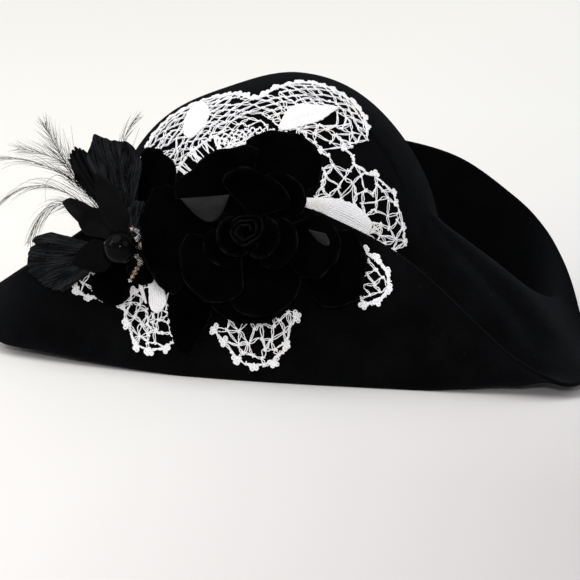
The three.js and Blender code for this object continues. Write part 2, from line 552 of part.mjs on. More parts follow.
// A round piece turned about a flower's axis, from a closed profile of [radius, out] points.
function turned(frame, profile, sides) {
  const points = profile.map(([radius, out]) => new THREE.Vector2(radius, out));
  const geometry = new THREE.LatheGeometry(points, sides);
  const [origin, right, up, front] = [frame(0, 0, 0), frame(1, 0, 0), frame(0, 1, 0), frame(0, 0, 1)];
  const axes = [right, up, front].map((axis) => axis.sub(origin));
  const matrix = new THREE.Matrix4().makeBasis(axes[0].clone().negate(), axes[2], axes[1]);
  return geometry.applyMatrix4(matrix.setPosition(origin));
}

function hubGeometry(frame, radius, back, front) {
  const rim = radius - HUB_CHAMFER;
  const profile = [[0, back], [rim, back], [radius, back + HUB_CHAMFER], [radius, front - HUB_CHAMFER]];
  return turned(frame, [...profile, [rim, front], [0, front]], HUB_SIDES);
}

// A strip rolled into a bud: u runs along the roll and v from its foot to its rim.
function budSurface(frame) {
  return (u, v) => {
    const direction = 2 * Math.PI * BUD_TURNS * u;
    const radius = BUD_INNER + (BUD_OUTER - BUD_INNER) * u + BUD_FLARE * v * v;
    const out = ROSE_HUB_FRONT + GAP + v * (BUD_HEIGHT - BUD_STEP * u);
    return frame(radius * Math.cos(direction), radius * Math.sin(direction), out);
  };
}

// A turned-over tip: a four-cornered patch just in front of a petal, between corners given as [across, up].
function foldSurface(frame, root, row, corners) {
  return (u, v) => {
    const corner = corners.map(([across, up]) => new THREE.Vector2(across, up));
    const spot = corner[0].lerp(corner[1], v).lerp(corner[3].lerp(corner[2], v), u);
    const share = Math.max((spot.length() - root) / (row.reach - root), 0);
    const risen = row.layer + row.cup * share ** CUP_POWER - row.curl * share ** CURL_POWER;
    return frame(spot.x, spot.y, risen + PETAL_WALL + FOLD_GAP);
  };
}

function leafSurface() {
  return (u, v) => {
    const side = 2 * u - 1;
    const half = LEAF_HALF_WIDTH * Math.sin(Math.PI * (LEAF_START + LEAF_SHARE * v)) ** LEAF_POWER;
    const x = LEAF_X + LEAF_LEAN * (v - 0.5) + side * half;
    const z = LEAF_TOP_Z + (LEAF_TIP_Z - LEAF_TOP_Z) * v;
    return onFlap(x, z, LEAF_LIFT + LEAF_CUP * (1 - side * side));
  };
}

// A feather: barbs fused to their quill, in one serrated strip. bend: how far it turns on its way out, late:
// the power that sets how late it turns.
function featherSurface(frame, { angle, bend, late, reach, half, layer, rise }) {
  const spine = (v) => {
    const direction = radians(angle + bend * Math.max(v, 0) ** late);
    return new THREE.Vector2(Math.cos(direction), Math.sin(direction)).multiplyScalar(
      FLOWER_ROOT + (reach - FLOWER_ROOT) * v,
    );
  };
  return (u, v) => {
    const along = Math.min(Math.max(v, 0), 1);
    const tooth = 1 - FEATHER_NOTCH * (Math.round(v * FEATHER_CELLS) % 2);
    const wave = Math.sin(Math.PI * (FEATHER_START + FEATHER_SHARE * along));
    const width = half * (FEATHER_LEAST + wave ** FEATHER_POWER) * tooth * (2 * u - 1);
    const way = spine(v + SPINE_STEP).sub(spine(v - SPINE_STEP)).normalize();
    const place = spine(v);
    return frame(place.x - width * way.y, place.y + width * way.x, layer + rise * along * along);
  };
}

// A string of small beads on a wire, swept along a curve and swelling at each bead.
function beadString(curve, beads) {
  const rings = beads * RINGS_PER_BEAD;
  const points = [];
  const triangles = [];
  const frames = curve.computeFrenetFrames(rings, false);
  for (let ring = 0; ring <= rings; ring++) {
    const swell = Math.sin((Math.PI * ring) / RINGS_PER_BEAD) ** 2;
    const radius = STRING_WIRE + (STRING_BEAD - STRING_WIRE) * swell;
    for (let k = 0; k < STRING_SIDES; k++) {
      const turn = (2 * Math.PI * k) / STRING_SIDES;
      const spot = curve.getPointAt(ring / rings);
      spot.addScaledVector(frames.normals[ring], radius * Math.cos(turn));
      points.push(spot.addScaledVector(frames.binormals[ring], radius * Math.sin(turn)));
    }
  }
  const index = (ring, k) => ring * STRING_SIDES + (k % STRING_SIDES);
  for (let k = 0; k < STRING_SIDES; k++) {
    for (let ring = 0; ring < rings; ring++) {
      triangles.push([index(ring, k), index(ring, k + 1), index(ring + 1, k + 1)]);
      triangles.push([index(ring, k), index(ring + 1, k + 1), index(ring + 1, k)]);
    }
    if (k > 0 && k < STRING_SIDES - 1) {
      triangles.push([index(0, 0), index(0, k + 1), index(0, k)]);
      triangles.push([index(rings, 0), index(rings, k), index(rings, k + 1)]);
    }
  }
  return closedGeometry(points, triangles);
}

const hat = new THREE.Group();
hat.add(piece("felt_body", feltGeometry(), "felt"));
hat.add(piece("lace_crown", laceGeometry(CROWN_LOBES, 5, onCrown), "lace"));
hat.add(piece("lace_flap", laceGeometry(FLAP_LOBES, 4, onFlapFrom), "lace"));

const rose = bloomFrame(vec(...ROSE_MIDDLE), vec(...ROSE_OUT));
hat.add(piece("rose_hub", hubGeometry(rose, ROSE_HUB_RADIUS, ROSE_HUB_BACK, ROSE_HUB_FRONT), "velvet"));
const bud = sheetGeometry({ surface: budSurface(rose), across: BUD_CELLS, along: 2, wall: PETAL_WALL });
hat.add(piece("rose_bud", bud, "velvet"));
for (const row of ROSE_PETALS) hat.add(petal("rose_petal_", rose, ROSE_ROOT, row));
for (const { name, under, corners } of ROSE_FOLDS) {
  const row = ROSE_PETALS.find((each) => each.name === under);
  const surface = foldSurface(rose, ROSE_ROOT, row, corners);
  hat.add(piece(name, sheetGeometry({ surface, across: 3, along: 2, wall: PETAL_WALL }), "satin"));
}
const leaf = sheetGeometry({ surface: leafSurface(), across: 4, along: 6, wall: PETAL_WALL });
hat.add(piece("rose_leaf", leaf, "velvet"));

const flower = bloomFrame(vec(...FLOWER_MIDDLE), vec(...FLOWER_OUT));
const flowerHub = hubGeometry(flower, FLOWER_HUB_RADIUS, FLOWER_HUB_BACK, FLOWER_HUB_FRONT);
hat.add(piece("flower_hub", flowerHub, "velvet"));
for (const row of FLOWER_PETALS) hat.add(petal("flower_petal_", flower, FLOWER_ROOT, row));
const beadOut = FLOWER_HUB_FRONT + GAP + BEAD_RADIUS;
const beadProfile = Array.from({ length: BEAD_RINGS + 1 }, (_, k) => {
  const turn = Math.PI * (1 - k / BEAD_RINGS);
  return [k % BEAD_RINGS ? BEAD_RADIUS * Math.sin(turn) : 0, beadOut + BEAD_RADIUS * Math.cos(turn)];
});
hat.add(piece("flower_bead", turned(flower, beadProfile, BEAD_SIDES), "bead"));
STAMENS.forEach(({ beads, path }, k) => {
  const curve = new THREE.CatmullRomCurve3(path.map(([across, up, out]) => flower(across, up, out)));
  hat.add(piece(`stamen_${k + 1}`, beadString(curve, beads), "crystal"));
});
for (const row of FEATHERS) {
  const surface = featherSurface(flower, row);
  const geometry = sheetGeometry({ surface, across: 2, along: FEATHER_CELLS, wall: FEATHER_WALL });
  hat.add(piece("feather_" + row.name, geometry, "feather"));
}

const box = new THREE.Box3().setFromObject(hat, true);
hat.position.set(-(box.min.x + box.max.x) / 2, -(box.min.y + box.max.y) / 2, -box.min.z);

export default hat;
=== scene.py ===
import math

import bpy
import numpy as np
from mathutils import Matrix, Vector


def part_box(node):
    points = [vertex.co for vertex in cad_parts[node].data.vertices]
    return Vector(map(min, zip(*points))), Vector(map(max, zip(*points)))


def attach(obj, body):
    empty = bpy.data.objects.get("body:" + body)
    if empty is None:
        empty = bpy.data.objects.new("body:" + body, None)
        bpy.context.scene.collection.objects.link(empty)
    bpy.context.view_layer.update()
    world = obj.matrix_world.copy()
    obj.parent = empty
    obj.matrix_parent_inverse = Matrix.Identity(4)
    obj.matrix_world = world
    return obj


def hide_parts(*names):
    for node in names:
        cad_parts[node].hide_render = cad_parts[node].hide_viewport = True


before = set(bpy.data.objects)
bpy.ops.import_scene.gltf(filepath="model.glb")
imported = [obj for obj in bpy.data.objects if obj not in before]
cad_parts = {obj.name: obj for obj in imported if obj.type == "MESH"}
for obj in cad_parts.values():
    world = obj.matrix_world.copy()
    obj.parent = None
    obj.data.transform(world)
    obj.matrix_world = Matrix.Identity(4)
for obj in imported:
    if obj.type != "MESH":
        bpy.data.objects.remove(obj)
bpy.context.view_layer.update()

# Lengths in the tables are millimetres in the hat's own frame: the crown's axis is x = y = 0 and the floor
# is z = 0. SHIFT, found from the bead's box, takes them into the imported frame.
FELT_WALL = 2.5
CROWN_HALF_LENGTH = 100.0
CROWN_HALF_WIDTH = 82.0
CROWN_SHOULDER_Z = 62.5
CROWN_RISE = 103.0
CROWN_TOP_SHIFT = 8.0
CROWN_LEAN = 2.6
CROWN_DIP = 4.0
CROWN_DIP_REACH = 0.8
FOOT_ROUND = 11.0
FOLD_ROUND = 18.0
FLAP_BULGE = 5.0
FULL_FLAP = 120.0
FOOT_SHARE = 0.1
FOLD_SHARE = 0.37
FLAP_SPAN = 0.22
FLAP_FOOT = 0.43
FLAP_HEIGHT = 110.0
FLAP_TURN = 1530.0
SEARCH_ROUNDS = 12

# Each row: place round the crown, foot height, fold x, y, z, edge x, y, z.
BRIM_SECTIONS = np.array([
    (-90, 36, 0, -101, -9, 0, -80, 108),
    (-68, 37, 46, -97, -9, 43, -81, 103),
    (-48, 41, 86, -91, -9, 81, -86, 92),
    (-35, 48, 113, -87, -8, 110, -90, 79),
    (-25, 57, 138, -84, -5, 134, -92, 62),
    (-18, 65, 160, -80, -2, 155, -91, 43),
    (-12, 73, 178, -73, 1, 178, -89, 24),
    (-8, 79, 184, -60, 10, 203, -79, 9),
    (-4, 83, 168, -32, 29, 212, -54, 8),
    (0, 86, 150, -6, 52, 204, -20, 10),
    (5, 83, 147, 22, 42, 189, 12, 26),
    (11, 75, 151, 50, 22, 175, 38, 42),
    (18, 66, 150, 75, 8, 161, 62, 54),
    (26, 56, 138, 95, -2, 144, 83, 66),
    (37, 47, 116, 104, -7, 122, 94, 82),
    (50, 40, 84, 107, -9, 86, 95, 104),
    (68, 37, 44, 108, -9, 44, 92, 114),
    (90, 36, 0, 108, -9, 0, 90, 115),
    (112, 37, -46, 108, -9, -43, 90, 110),
    (132, 41, -86, 107, -9, -82, 93, 98),
    (145, 48, -113, 104, -8, -110, 95, 79),
    (155, 56, -138, 99, -5, -134, 96, 58),
    (162, 64, -160, 93, -1, -156, 94, 37),
    (168, 71, -176, 82, 3, -178, 86, 18),
    (172, 76, -180, 62, 8, -198, 72, 5),
    (176, 79, -164, 32, 25, -206, 44, 5),
    (180, 81, -148, 6, 47, -201, 16, 12),
    (185, 78, -144, -24, 38, -189, -12, 21),
    (191, 72, -158, -55, 14, -177, -38, 28),
    (198, 64, -162, -76, 5, -162, -60, 34),
    (206, 55, -147, -90, 1, -146, -78, 42),
    (217, 46, -118, -97, 0, -124, -90, 57),
    (230, 40, -84, -101, -3, -86, -87, 82),
    (248, 37, -44, -103, -6, -44, -82, 101),
], dtype=float)

GAP = 0.3
LACE_WALL = 1.0
LACE_CROWN_LIFT = FELT_WALL / 2 + 0.95 + LACE_WALL / 2
LACE_FLAP_LIFT = FELT_WALL / 2 + 0.7 + LACE_WALL / 2
LOBE_POWER = 2.5
LACE_CROWN_RADIUS = 95.0
LACE_CROWN_DEG = -80.0
LACE_CROWN_SWEEP = 1.3
LACE_FLAP_X = -5.0
LACE_FLAP_Z = 84.0
# Lobes of the doily: direction, half width in degrees, reach, and reach beside it.
CROWN_LOBES = [(12, 24, 101, 84), (67, 28, 108, 84), (129, 29, 106, 84)]
FLAP_LOBES = [(-157, 12, 95, 56), (-122, 19, 84, 56), (-66, 25, 82, 56), (-12, 14, 112, 66)]

PETAL_WALL = 1.2
PETAL_ROOT = 0.5
TIP_DROP = 0.2
TIP_POWER = 2.5
CUP_POWER = 1.8
CURL_POWER = 6
WRINKLE = 1.2
FOLD_GAP = 0.45
HUB_CHAMFER = 1.2
HUB_WAIST = 0.25

ROSE_MIDDLE = (24, -108, 91)
ROSE_OUT = (0.22, -0.95, 0.22)
ROSE_HUB_RADIUS = 8.0
ROSE_HUB_BACK = -18.1
ROSE_HUB_FRONT = 13.0
ROSE_ROOT = 8.4
# Petals: name, finish, direction, half width, reach, layer, cup, curl, waves, point.
ROSE_PETALS = [
    ("back_top", "velvet", 66, 30, 62, 0, 0, 3, 0, 0),
    ("back_left", "velvet", 186, 34, 68, 0, 1, -5, 0, 0),
    ("back_right", "velvet", -21, 24, 75, 0, 1, 3, 0, 0),
    ("back_low", "velvet", 268, 34, 53, 0, 1, 3, 0, 0),
    ("mid_upper_left", "velvet", 121, 36, 55, 3.5, 9, 3, 0, 0),
    ("mid_lower_left", "velvet", 224, 41, 48, 3.5, 10, 3, 0, 0),
    ("mid_low", "velvet", 286, 43, 50, 1.75, 7, 3, 0, 0),
    ("mid_right", "velvet", -12, 28, 52, 3.5, 9, 3, 0, 0),
    ("mid_upper_right", "velvet", 48, 28, 41, 3.5, 10, 2, 0, 0),
    ("inner_top", "velvet", 76, 44, 36, 7, 16, 3, 0, 0),
    ("inner_left", "velvet", 212, 38, 28, 7, 15, 3, 0, 0),
    ("inner_right", "velvet", 338, 46, 31, 7, 15, 3, 0, 0),
    ("core_left", "velvet", 205, 66, 18, 10.5, 13, 1, 0, 0),
    ("core_right", "velvet", 338, 62, 20, 10.5, 13, 1, 0, 0),
]
ROSE_FOLDS = [
    ("rose_fold_large", "mid_upper_left", ((-40, 18), (-12, 21), (-17, 5), (-29, 5))),
    ("rose_fold_small", "mid_right", ((34, 2), (44, 0), (50, -8), (39, -6))),
]
BUD_TURNS = 2.4
BUD_INNER = 2.2
BUD_OUTER = 9.0
BUD_FLARE = 1.0
BUD_HEIGHT = 17.0
BUD_STEP = 5.0

LEAF_X = -16.5
LEAF_LEAN = -7.0
LEAF_TOP_Z = 66.0
LEAF_TIP_Z = 15.0
LEAF_HALF_WIDTH = 14.5
LEAF_LIFT = LACE_FLAP_LIFT + LACE_WALL / 2 + PETAL_WALL / 2 + 0.45
LEAF_CUP = 1.0
LEAF_START = 0.2
LEAF_SHARE = 0.76
LEAF_POWER = 0.8
LEAF_VEIN = 0.5
LEAF_SOFT = 0.3
LEAF_TORN, LEAF_FRAYED = 0.05, 0.04

FLOWER_MIDDLE = (-54, -100.3, 74.8)
FLOWER_OUT = (0.1, -0.97, 0.2)
FLOWER_HUB_RADIUS = 6.0
FLOWER_HUB_BACK = -5.8
FLOWER_HUB_FRONT = 12.0
FLOWER_ROOT = 6.4
BEAD_RADIUS = 9.75
BEAD_HOLE = 0.9
# The bead's hole, from its floor to its mouth: share of its radius, and depth under the bead's end.
HOLE_STEPS = ((0, 1.6), (0.85, 1.4), (0.9, 0.3))
FLOWER_PETALS = [
    ("back_dark", "satin", 72, 15, 63, 0, 0, 4, 0, 0),
    ("top_small", "crinkled", 124, 9, 67, 0, 3, 3, 2, 0),
    ("satin_left", "satin", 147, 13, 49, 0, 7, 0, 0, 0.5),
    ("fan", "crinkled", 194, 22, 66, 0, 4, 5, 5, 0),
    ("low", "velvet", 246, 27, 36, 0, 5, 2, 0, 0),
    ("low_right", "velvet", 302, 25, 29, 0, 3, 0, 0, 0),
    ("right", "velvet", 12, 28, 31, 0, 3, 0, 0, 0),
    ("top", "crinkled", 101, 18, 68, 3.5, 5, 4, 5, 0),
    ("rim", "satin", 147, 20, 33, 3.5, 9, 0, 0, 0),
    ("satin_low", "satin", 198, 30, 34, 3.5, 9, 1, 0, 0.4),
    ("leaf", "satin", 113, 23, 46, 7, 13, 2, 0, 0.6),
    ("small", "crinkled", 67, 21, 29, 7, 8, 1, 3, 0),
]
# Bead strings: fewest beads, and the path in the flower's frame.
STAMENS = [
    (2, ((5, 4.2, 8), (8.4, 8, 12), (8, 10, 18), (5.5, 11.4, 22))),
    (3, ((6.9, 0.6, 7), (11.5, 1, 11), (13.6, 1.6, 17), (12.6, 2.6, 24))),
    (4, ((5.4, -4, 8), (9.6, -7.6, 12), (10.4, -10, 18), (4.6, -20, 16))),
]
STRING_BEAD = 1.7
STRING_WIRE = 0.7
STRING_PITCH = 2.7
# A cut bead's sides, its length and least size, and its rings: level along its axis, and width.
CUT_SIDES = 8
CUT_LENGTH = 0.95
CUT_LEAST = 0.78
CUT_RINGS = ((-0.8, 0.45), (-0.3, 1.0), (0.3, 1.0), (0.8, 0.45))
# Feathers: name, direction, bend, late, reach, half width, layer, rise.
FEATHERS = [
    ("up_right", 106, -16, 3, 76, 2.2, -2.2, 1.5),
    ("up", 136, -7, 1.5, 90, 4.4, -2.2, 1.5),
    ("up_left", 119, 24, 1.5, 91, 3.6, -3.6, 1),
    ("left_thin", 131, 19, 2, 97, 1.8, -3.6, 1),
    ("left", 142, 23.5, 4, 86, 2, -3.6, 1),
    ("left_low", 149, 31, 9, 63, 3, -2.2, 0),
]
STEP = 1e-4
METRE = 1000.0


def unit(vectors):
    return vectors / (np.linalg.norm(vectors, axis=-1, keepdims=True) + 1e-12)


def stack(x, y, z):
    return np.stack(np.broadcast_arrays(x, y, z), axis=-1).astype(float)


def cubic_at(a, b, c, d, t):
    """A cubic through four values, at t between the second and the third."""
    slope_b = (c - a) / 2
    slope_c = (d - b) / 2
    rise = 3 * t ** 2 - 2 * t ** 3
    return b * (1 - rise) + slope_b * (t ** 3 - 2 * t ** 2 + t) + c * rise + slope_c * (t ** 3 - t ** 2)


def section_at(s):
    """The brim's section at s, from 0 to 1 round the hat, with every column eased between the rows."""
    count = len(BRIM_SECTIONS)
    place = np.mod(s, 1.0) * count
    first = np.floor(place).astype(int)
    rows = []
    for step in (-1, 0, 1, 2):
        row = BRIM_SECTIONS[(first + step) % count].copy()
        row[..., 0] += np.floor_divide(first + step, count) * 360
        rows.append(row)
    return cubic_at(*rows, (place - first)[..., None])


def crown_point(deg, sweep):
    """A point of the crown's middle surface: sweep is 0 at the top and a quarter turn at the shoulder."""
    level = np.cos(np.minimum(sweep, np.pi / 2))
    ring = np.sin(np.minimum(sweep, np.pi / 2))
    below = np.maximum(sweep - np.pi / 2, 0)
    lean = CROWN_TOP_SHIFT * level ** 4 - CROWN_LEAN * 2 * level * ring
    turn = np.radians(deg)
    dented = np.sin(np.pi * np.minimum(ring / CROWN_DIP_REACH, 1)) ** 2
    dip = CROWN_DIP * dented * np.maximum(-np.cos(turn), 0)
    return stack(
        CROWN_HALF_LENGTH * ring * np.cos(turn) + lean,
        CROWN_HALF_WIDTH * ring * np.sin(turn),
        CROWN_SHOULDER_Z + CROWN_RISE * (level - below) - dip,
    )


def sweep_to(z):
    level = (z - CROWN_SHOULDER_Z) / CROWN_RISE
    return np.where(level > 0, np.arccos(np.clip(level, 0, 1)), np.pi / 2 - level)


def brim_point(section, t):
    """A point of the brim's middle surface: t is 0 where the crown turns out and 1 at the free edge."""
    deg, foot_z = section[..., 0], section[..., 1]
    foot = crown_point(deg, sweep_to(foot_z))
    fold, edge = section[..., 2:5], section[..., 5:8]
    leg_in = np.linalg.norm(foot - fold, axis=-1)
    leg_out = np.linalg.norm(edge - fold, axis=-1)
    reach = np.minimum(np.minimum(leg_in, leg_out) / 2, FOLD_ROUND)
    inward = (foot - fold) / leg_in[..., None]
    outward = (edge - fold) / leg_out[..., None]
    turn = np.clip(t / FOOT_SHARE, 0, 1)[..., None]
    above = crown_point(deg, sweep_to(foot_z + FOOT_ROUND))
    start = foot - FOOT_ROUND * inward
    foot_curve = above * (1 - turn) ** 2 + 2 * foot * turn * (1 - turn) + start * turn ** 2
    leg_share = (t - FOLD_SHARE) / (FOLD_SHARE - FOOT_SHARE)
    out_share = (t - FOLD_SHARE) / (1 - FOLD_SHARE)
    along = np.where(t < FOLD_SHARE, leg_share * (leg_in - FOOT_ROUND), out_share * leg_out)
    bend = np.clip((along + reach) / (2 * reach), 0, 1)[..., None]
    corner = fold + inward * (reach[..., None] * (1 - bend) ** 2) + outward * (reach[..., None] * bend ** 2)
    point = np.where((along < -reach)[..., None], fold - inward * along[..., None], corner)
    point = np.where((along > reach)[..., None], fold + outward * along[..., None], point)
    up = np.maximum(along, 0) / leg_out
    swell = FLAP_BULGE * 4 * up * (1 - up) * leg_out / FULL_FLAP
    away = np.hypot(fold[..., 0], fold[..., 1])
    x = point[..., 0] + swell * fold[..., 0] / away / 2
    y = point[..., 1] + swell * fold[..., 1] / away
    z = np.maximum(point[..., 2], FELT_WALL / 2)
    return np.where((t < FOOT_SHARE)[..., None], foot_curve, stack(x, y, z))


def felt_point(s, v):
    """The felt's middle surface: v is 0 at the crown's top, 1 above its foot and 2 at the edge."""
    s, v = np.broadcast_arrays(np.asarray(s, float), np.asarray(v, float))
    section = section_at(s)
    crown = crown_point(section[..., 0], np.clip(v, 0, 1) * sweep_to(section[..., 1] + FOOT_ROUND))
    return np.where((v <= 1)[..., None], crown, brim_point(section, np.clip(v, 1, 2) - 1))


def normal_of(surface, s, v, low=-np.inf, high=np.inf, step=STEP):
    along_s = surface(s + step, v) - surface(s - step, v)
    along_v = surface(s, np.minimum(v + step, high)) - surface(s, np.maximum(v - step, low))
    return unit(np.cross(along_v, along_s))


def felt_offset(s, v, distance):
    distance = np.asarray(distance, float)[..., None]
    return felt_point(s, v) + normal_of(felt_point, s, v, 0, 2) * distance


def on_crown(distance, angle, lift):
    """A place on the crown's outside, from the doily's middle there; lift is added to the doily's own."""
    deg, sweep = math.radians(LACE_CROWN_DEG), LACE_CROWN_SWEEP
    middle = np.array([math.sin(sweep) * math.cos(deg), math.sin(sweep) * math.sin(deg), math.cos(sweep)])
    sideways = np.array([-math.sin(deg), math.cos(deg), 0.0])
    upwards = np.cross(middle, sideways)
    turn = np.asarray(distance, float)[..., None] / LACE_CROWN_RADIUS
    toward = np.radians(angle)[..., None]
    way = sideways * np.cos(toward) + upwards * np.sin(toward)
    spot = middle * np.cos(turn) + way * np.sin(turn)
    at = np.degrees(np.arctan2(spot[..., 1], spot[..., 0]))
    down = np.arccos(np.clip(spot[..., 2], -1, 1))

    def surface(hundredths, sweeps):
        return crown_point(hundredths * 100, sweeps)

    normal = normal_of(surface, at / 100, down)
    return crown_point(at, down) + normal * (LACE_CROWN_LIFT + np.asarray(lift, float))[..., None]


def on_flap(x, z, lift):
    """A place in front of the near flap, found by its x and z on the felt."""
    x, z = np.broadcast_arrays(np.asarray(x, float), np.asarray(z, float))
    s = x / FLAP_TURN
    v = 1 + FOLD_SHARE + (1 - FOLD_SHARE) * z / FLAP_HEIGHT
    for _ in range(SEARCH_ROUNDS):
        point = felt_point(s, v)
        by_s = (felt_point(s + STEP, v) - point) / STEP
        by_v = (felt_point(s, v + STEP) - point) / STEP
        miss_x, miss_z = x - point[..., 0], z - point[..., 2]
        area = by_s[..., 0] * by_v[..., 2] - by_v[..., 0] * by_s[..., 2]
        area = np.where(np.abs(area) < 1, 1, area)
        s = np.clip(s + (miss_x * by_v[..., 2] - miss_z * by_v[..., 0]) / area, -FLAP_SPAN, FLAP_SPAN)
        v = np.clip(v + (miss_z * by_s[..., 0] - miss_x * by_s[..., 2]) / area, 1 + FLAP_FOOT, 2 - 2 * STEP)
    return felt_offset(s, v, -np.asarray(lift, float) * np.ones_like(s))


def crown_place(x, y, lift):
    """The flat doily's x and y, laid on the crown."""
    return on_crown(np.hypot(x, y), np.degrees(np.arctan2(y, x)), lift * np.ones_like(x))


def flap_place(x, y, lift):
    """The flat doily's x and y, laid on the near flap."""
    return on_flap(LACE_FLAP_X + x, LACE_FLAP_Z + y, LACE_FLAP_LIFT + lift)


def lace_reach(lobes, angle):
    reaches = []
    for middle, half, reach, valley in lobes:
        off = np.minimum(np.abs(angle - middle) / half, 1)
        reaches.append(valley + (reach - valley) * (1 - off ** LOBE_POWER))
    return np.max(reaches, axis=0)


def bloom_frame(middle, out):
    """A flower's own frame: places in it are across, up and out from its middle."""
    front = unit(np.array(out, float))
    right = unit(np.array([-front[1], front[0], 0.0]))
    up = np.cross(front, right)
    origin = np.array(middle, float)

    def place(across, upwards, outwards):
        spot = stack(across, upwards, outwards)
        return origin + spot[..., :1] * right + spot[..., 1:2] * up + spot[..., 2:3] * front

    return place


def find_shift():
    """The way from the hat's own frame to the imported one, from the middle of the bead's box."""
    low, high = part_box("flower_bead")
    middle = bloom_frame(FLOWER_MIDDLE, FLOWER_OUT)(0, 0, FLOWER_HUB_FRONT + GAP + BEAD_RADIUS)
    return (np.array(low) + np.array(high)) * METRE / 2 - middle.reshape(3)


SHIFT = find_shift()


class Shape:
    """Points, faces and named point values that are gathered into one mesh."""

    def __init__(self):
        self.points = []
        self.faces = []
        self.values = {}
        self.count = 0

    def add(self, points, faces, **values):
        points = np.asarray(points, float).reshape(-1, 3)
        for face in faces:
            self.faces.append(np.asarray(face, int) + self.count)
        for name, value in values.items():
            self.values.setdefault(name, [])
            self.values[name].append((self.count, np.broadcast_to(value, (len(points),)).astype(float)))
        self.points.append(points)
        self.count += len(points)

    def piece(self, node_name, slot, finish=None, smooth=True, name=None):
        """The piece that stands for a node, with the finish of its slot where no other is named."""
        name = name or node_name + "_visual"
        mesh = bpy.data.meshes.new(name)
        points = (np.concatenate(self.points) + SHIFT) / METRE
        mesh.vertices.add(len(points))
        mesh.vertices.foreach_set("co", points.ravel())
        sizes = np.concatenate([np.full(len(face), face.shape[1]) for face in self.faces])
        corners = np.concatenate([face.ravel() for face in self.faces])
        mesh.loops.add(len(corners))
        mesh.loops.foreach_set("vertex_index", corners)
        mesh.polygons.add(len(sizes))
        mesh.polygons.foreach_set("loop_start", np.concatenate([[0], np.cumsum(sizes)[:-1]]))
        mesh.update(calc_edges=True)
        mesh.validate()
        for value_name, parts in self.values.items():
            layer = mesh.attributes.new(value_name, "FLOAT", "POINT")
            values = np.zeros(len(points))
            for start, part in parts:
                values[start:start + len(part)] = part
            layer.data.foreach_set("value", values)
        mesh.polygons.foreach_set("use_smooth", np.full(len(mesh.polygons), smooth))
        mesh.materials.append(FINISH[finish or slot])
        piece = bpy.data.objects.new(name, mesh)
        bpy.context.scene.collection.objects.link(piece)
        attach(piece, "root")
        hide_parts(node_name)


def grid_faces(columns, rows, start=0, flip=False, wrap=False):
    """Four-cornered faces of a grid of points stored row by row, `rows` points in each column."""
    i = np.arange(columns if wrap else columns - 1)[:, None]
    j = np.arange(rows - 1)[None, :]
    a = i * rows + j
    b = ((i + 1) % columns) * rows + j
    faces = np.stack([a, a + 1, b + 1, b], -1).reshape(-1, 4)
    return start + (faces[:, ::-1] if flip else faces)


def closed_faces(stations, rows, flip=False):
    """Faces of a wrapped grid whose first and last rows close on the two points that follow it."""
    here = np.arange(stations) * rows
    after = np.roll(here, -1)
    if flip:
        here, after = after, here
    first = np.stack([np.full(stations, stations * rows), here, after], -1)
    last = np.stack([np.full(stations, stations * rows + 1), after + rows - 1, here + rows - 1], -1)
    return [grid_faces(stations, rows, wrap=True, flip=flip), first, last]


def running(steps):
    """Sums of the steps so far, from zero."""
    return np.concatenate([[0], np.cumsum(steps)])


def smoothstep(low, high, x):
    t = np.clip((x - low) / (high - low), 0, 1)
    return t * t * (3 - 2 * t)


# Waves that make up a ripple, and the spread of their lengths; steps between two points of a path.
RIPPLE_WAVES = 7
RIPPLE_PACE = (0.6, 1.7)
PATH_STEPS = 24


def ripple(x, y, seed, size):
    """Smooth, seeded unevenness between about -1 and 1 over lengths of about `size`."""
    rng = np.random.default_rng(seed)
    total = np.zeros(np.broadcast(x, y).shape)
    for _ in range(RIPPLE_WAVES):
        turn = rng.uniform(0, 2 * np.pi)
        pace = rng.uniform(*RIPPLE_PACE) * 2 * np.pi / size
        total = total + np.sin(pace * (x * np.cos(turn) + y * np.sin(turn)) + rng.uniform(0, 2 * np.pi))
    return total / 3.0


def smooth_path(points, count):
    """Places at even steps along a curve through the points."""
    points = np.array(points, float)
    padded = np.concatenate([[2 * points[0] - points[1]], points, [2 * points[-1] - points[-2]]])
    fine = []
    for k in range(len(points) - 1):
        t = np.linspace(0, 1, PATH_STEPS, endpoint=False)[:, None]
        fine.append(cubic_at(*padded[k:k + 4], t))
    fine = np.concatenate([*fine, points[-1:]])
    run = running(np.linalg.norm(np.diff(fine, axis=0), axis=1))
    at = np.linspace(0, run[-1], count)
    return np.stack([np.interp(at, run, fine[:, k]) for k in range(fine.shape[1])], -1), run[-1]


# Sheets: how much their rows crowd towards the sides and the tip, how thin the rim's end is, how wide the
# band along its rim is where a highlight is painted, and the step in u and v between which a normal is found.
CROWD_SIDES = 0.6
CROWD_TIP = 0.35
RIM_THIN = 0.04
SHEEN_BAND = 0.5
SHEET_STEP = 5e-4


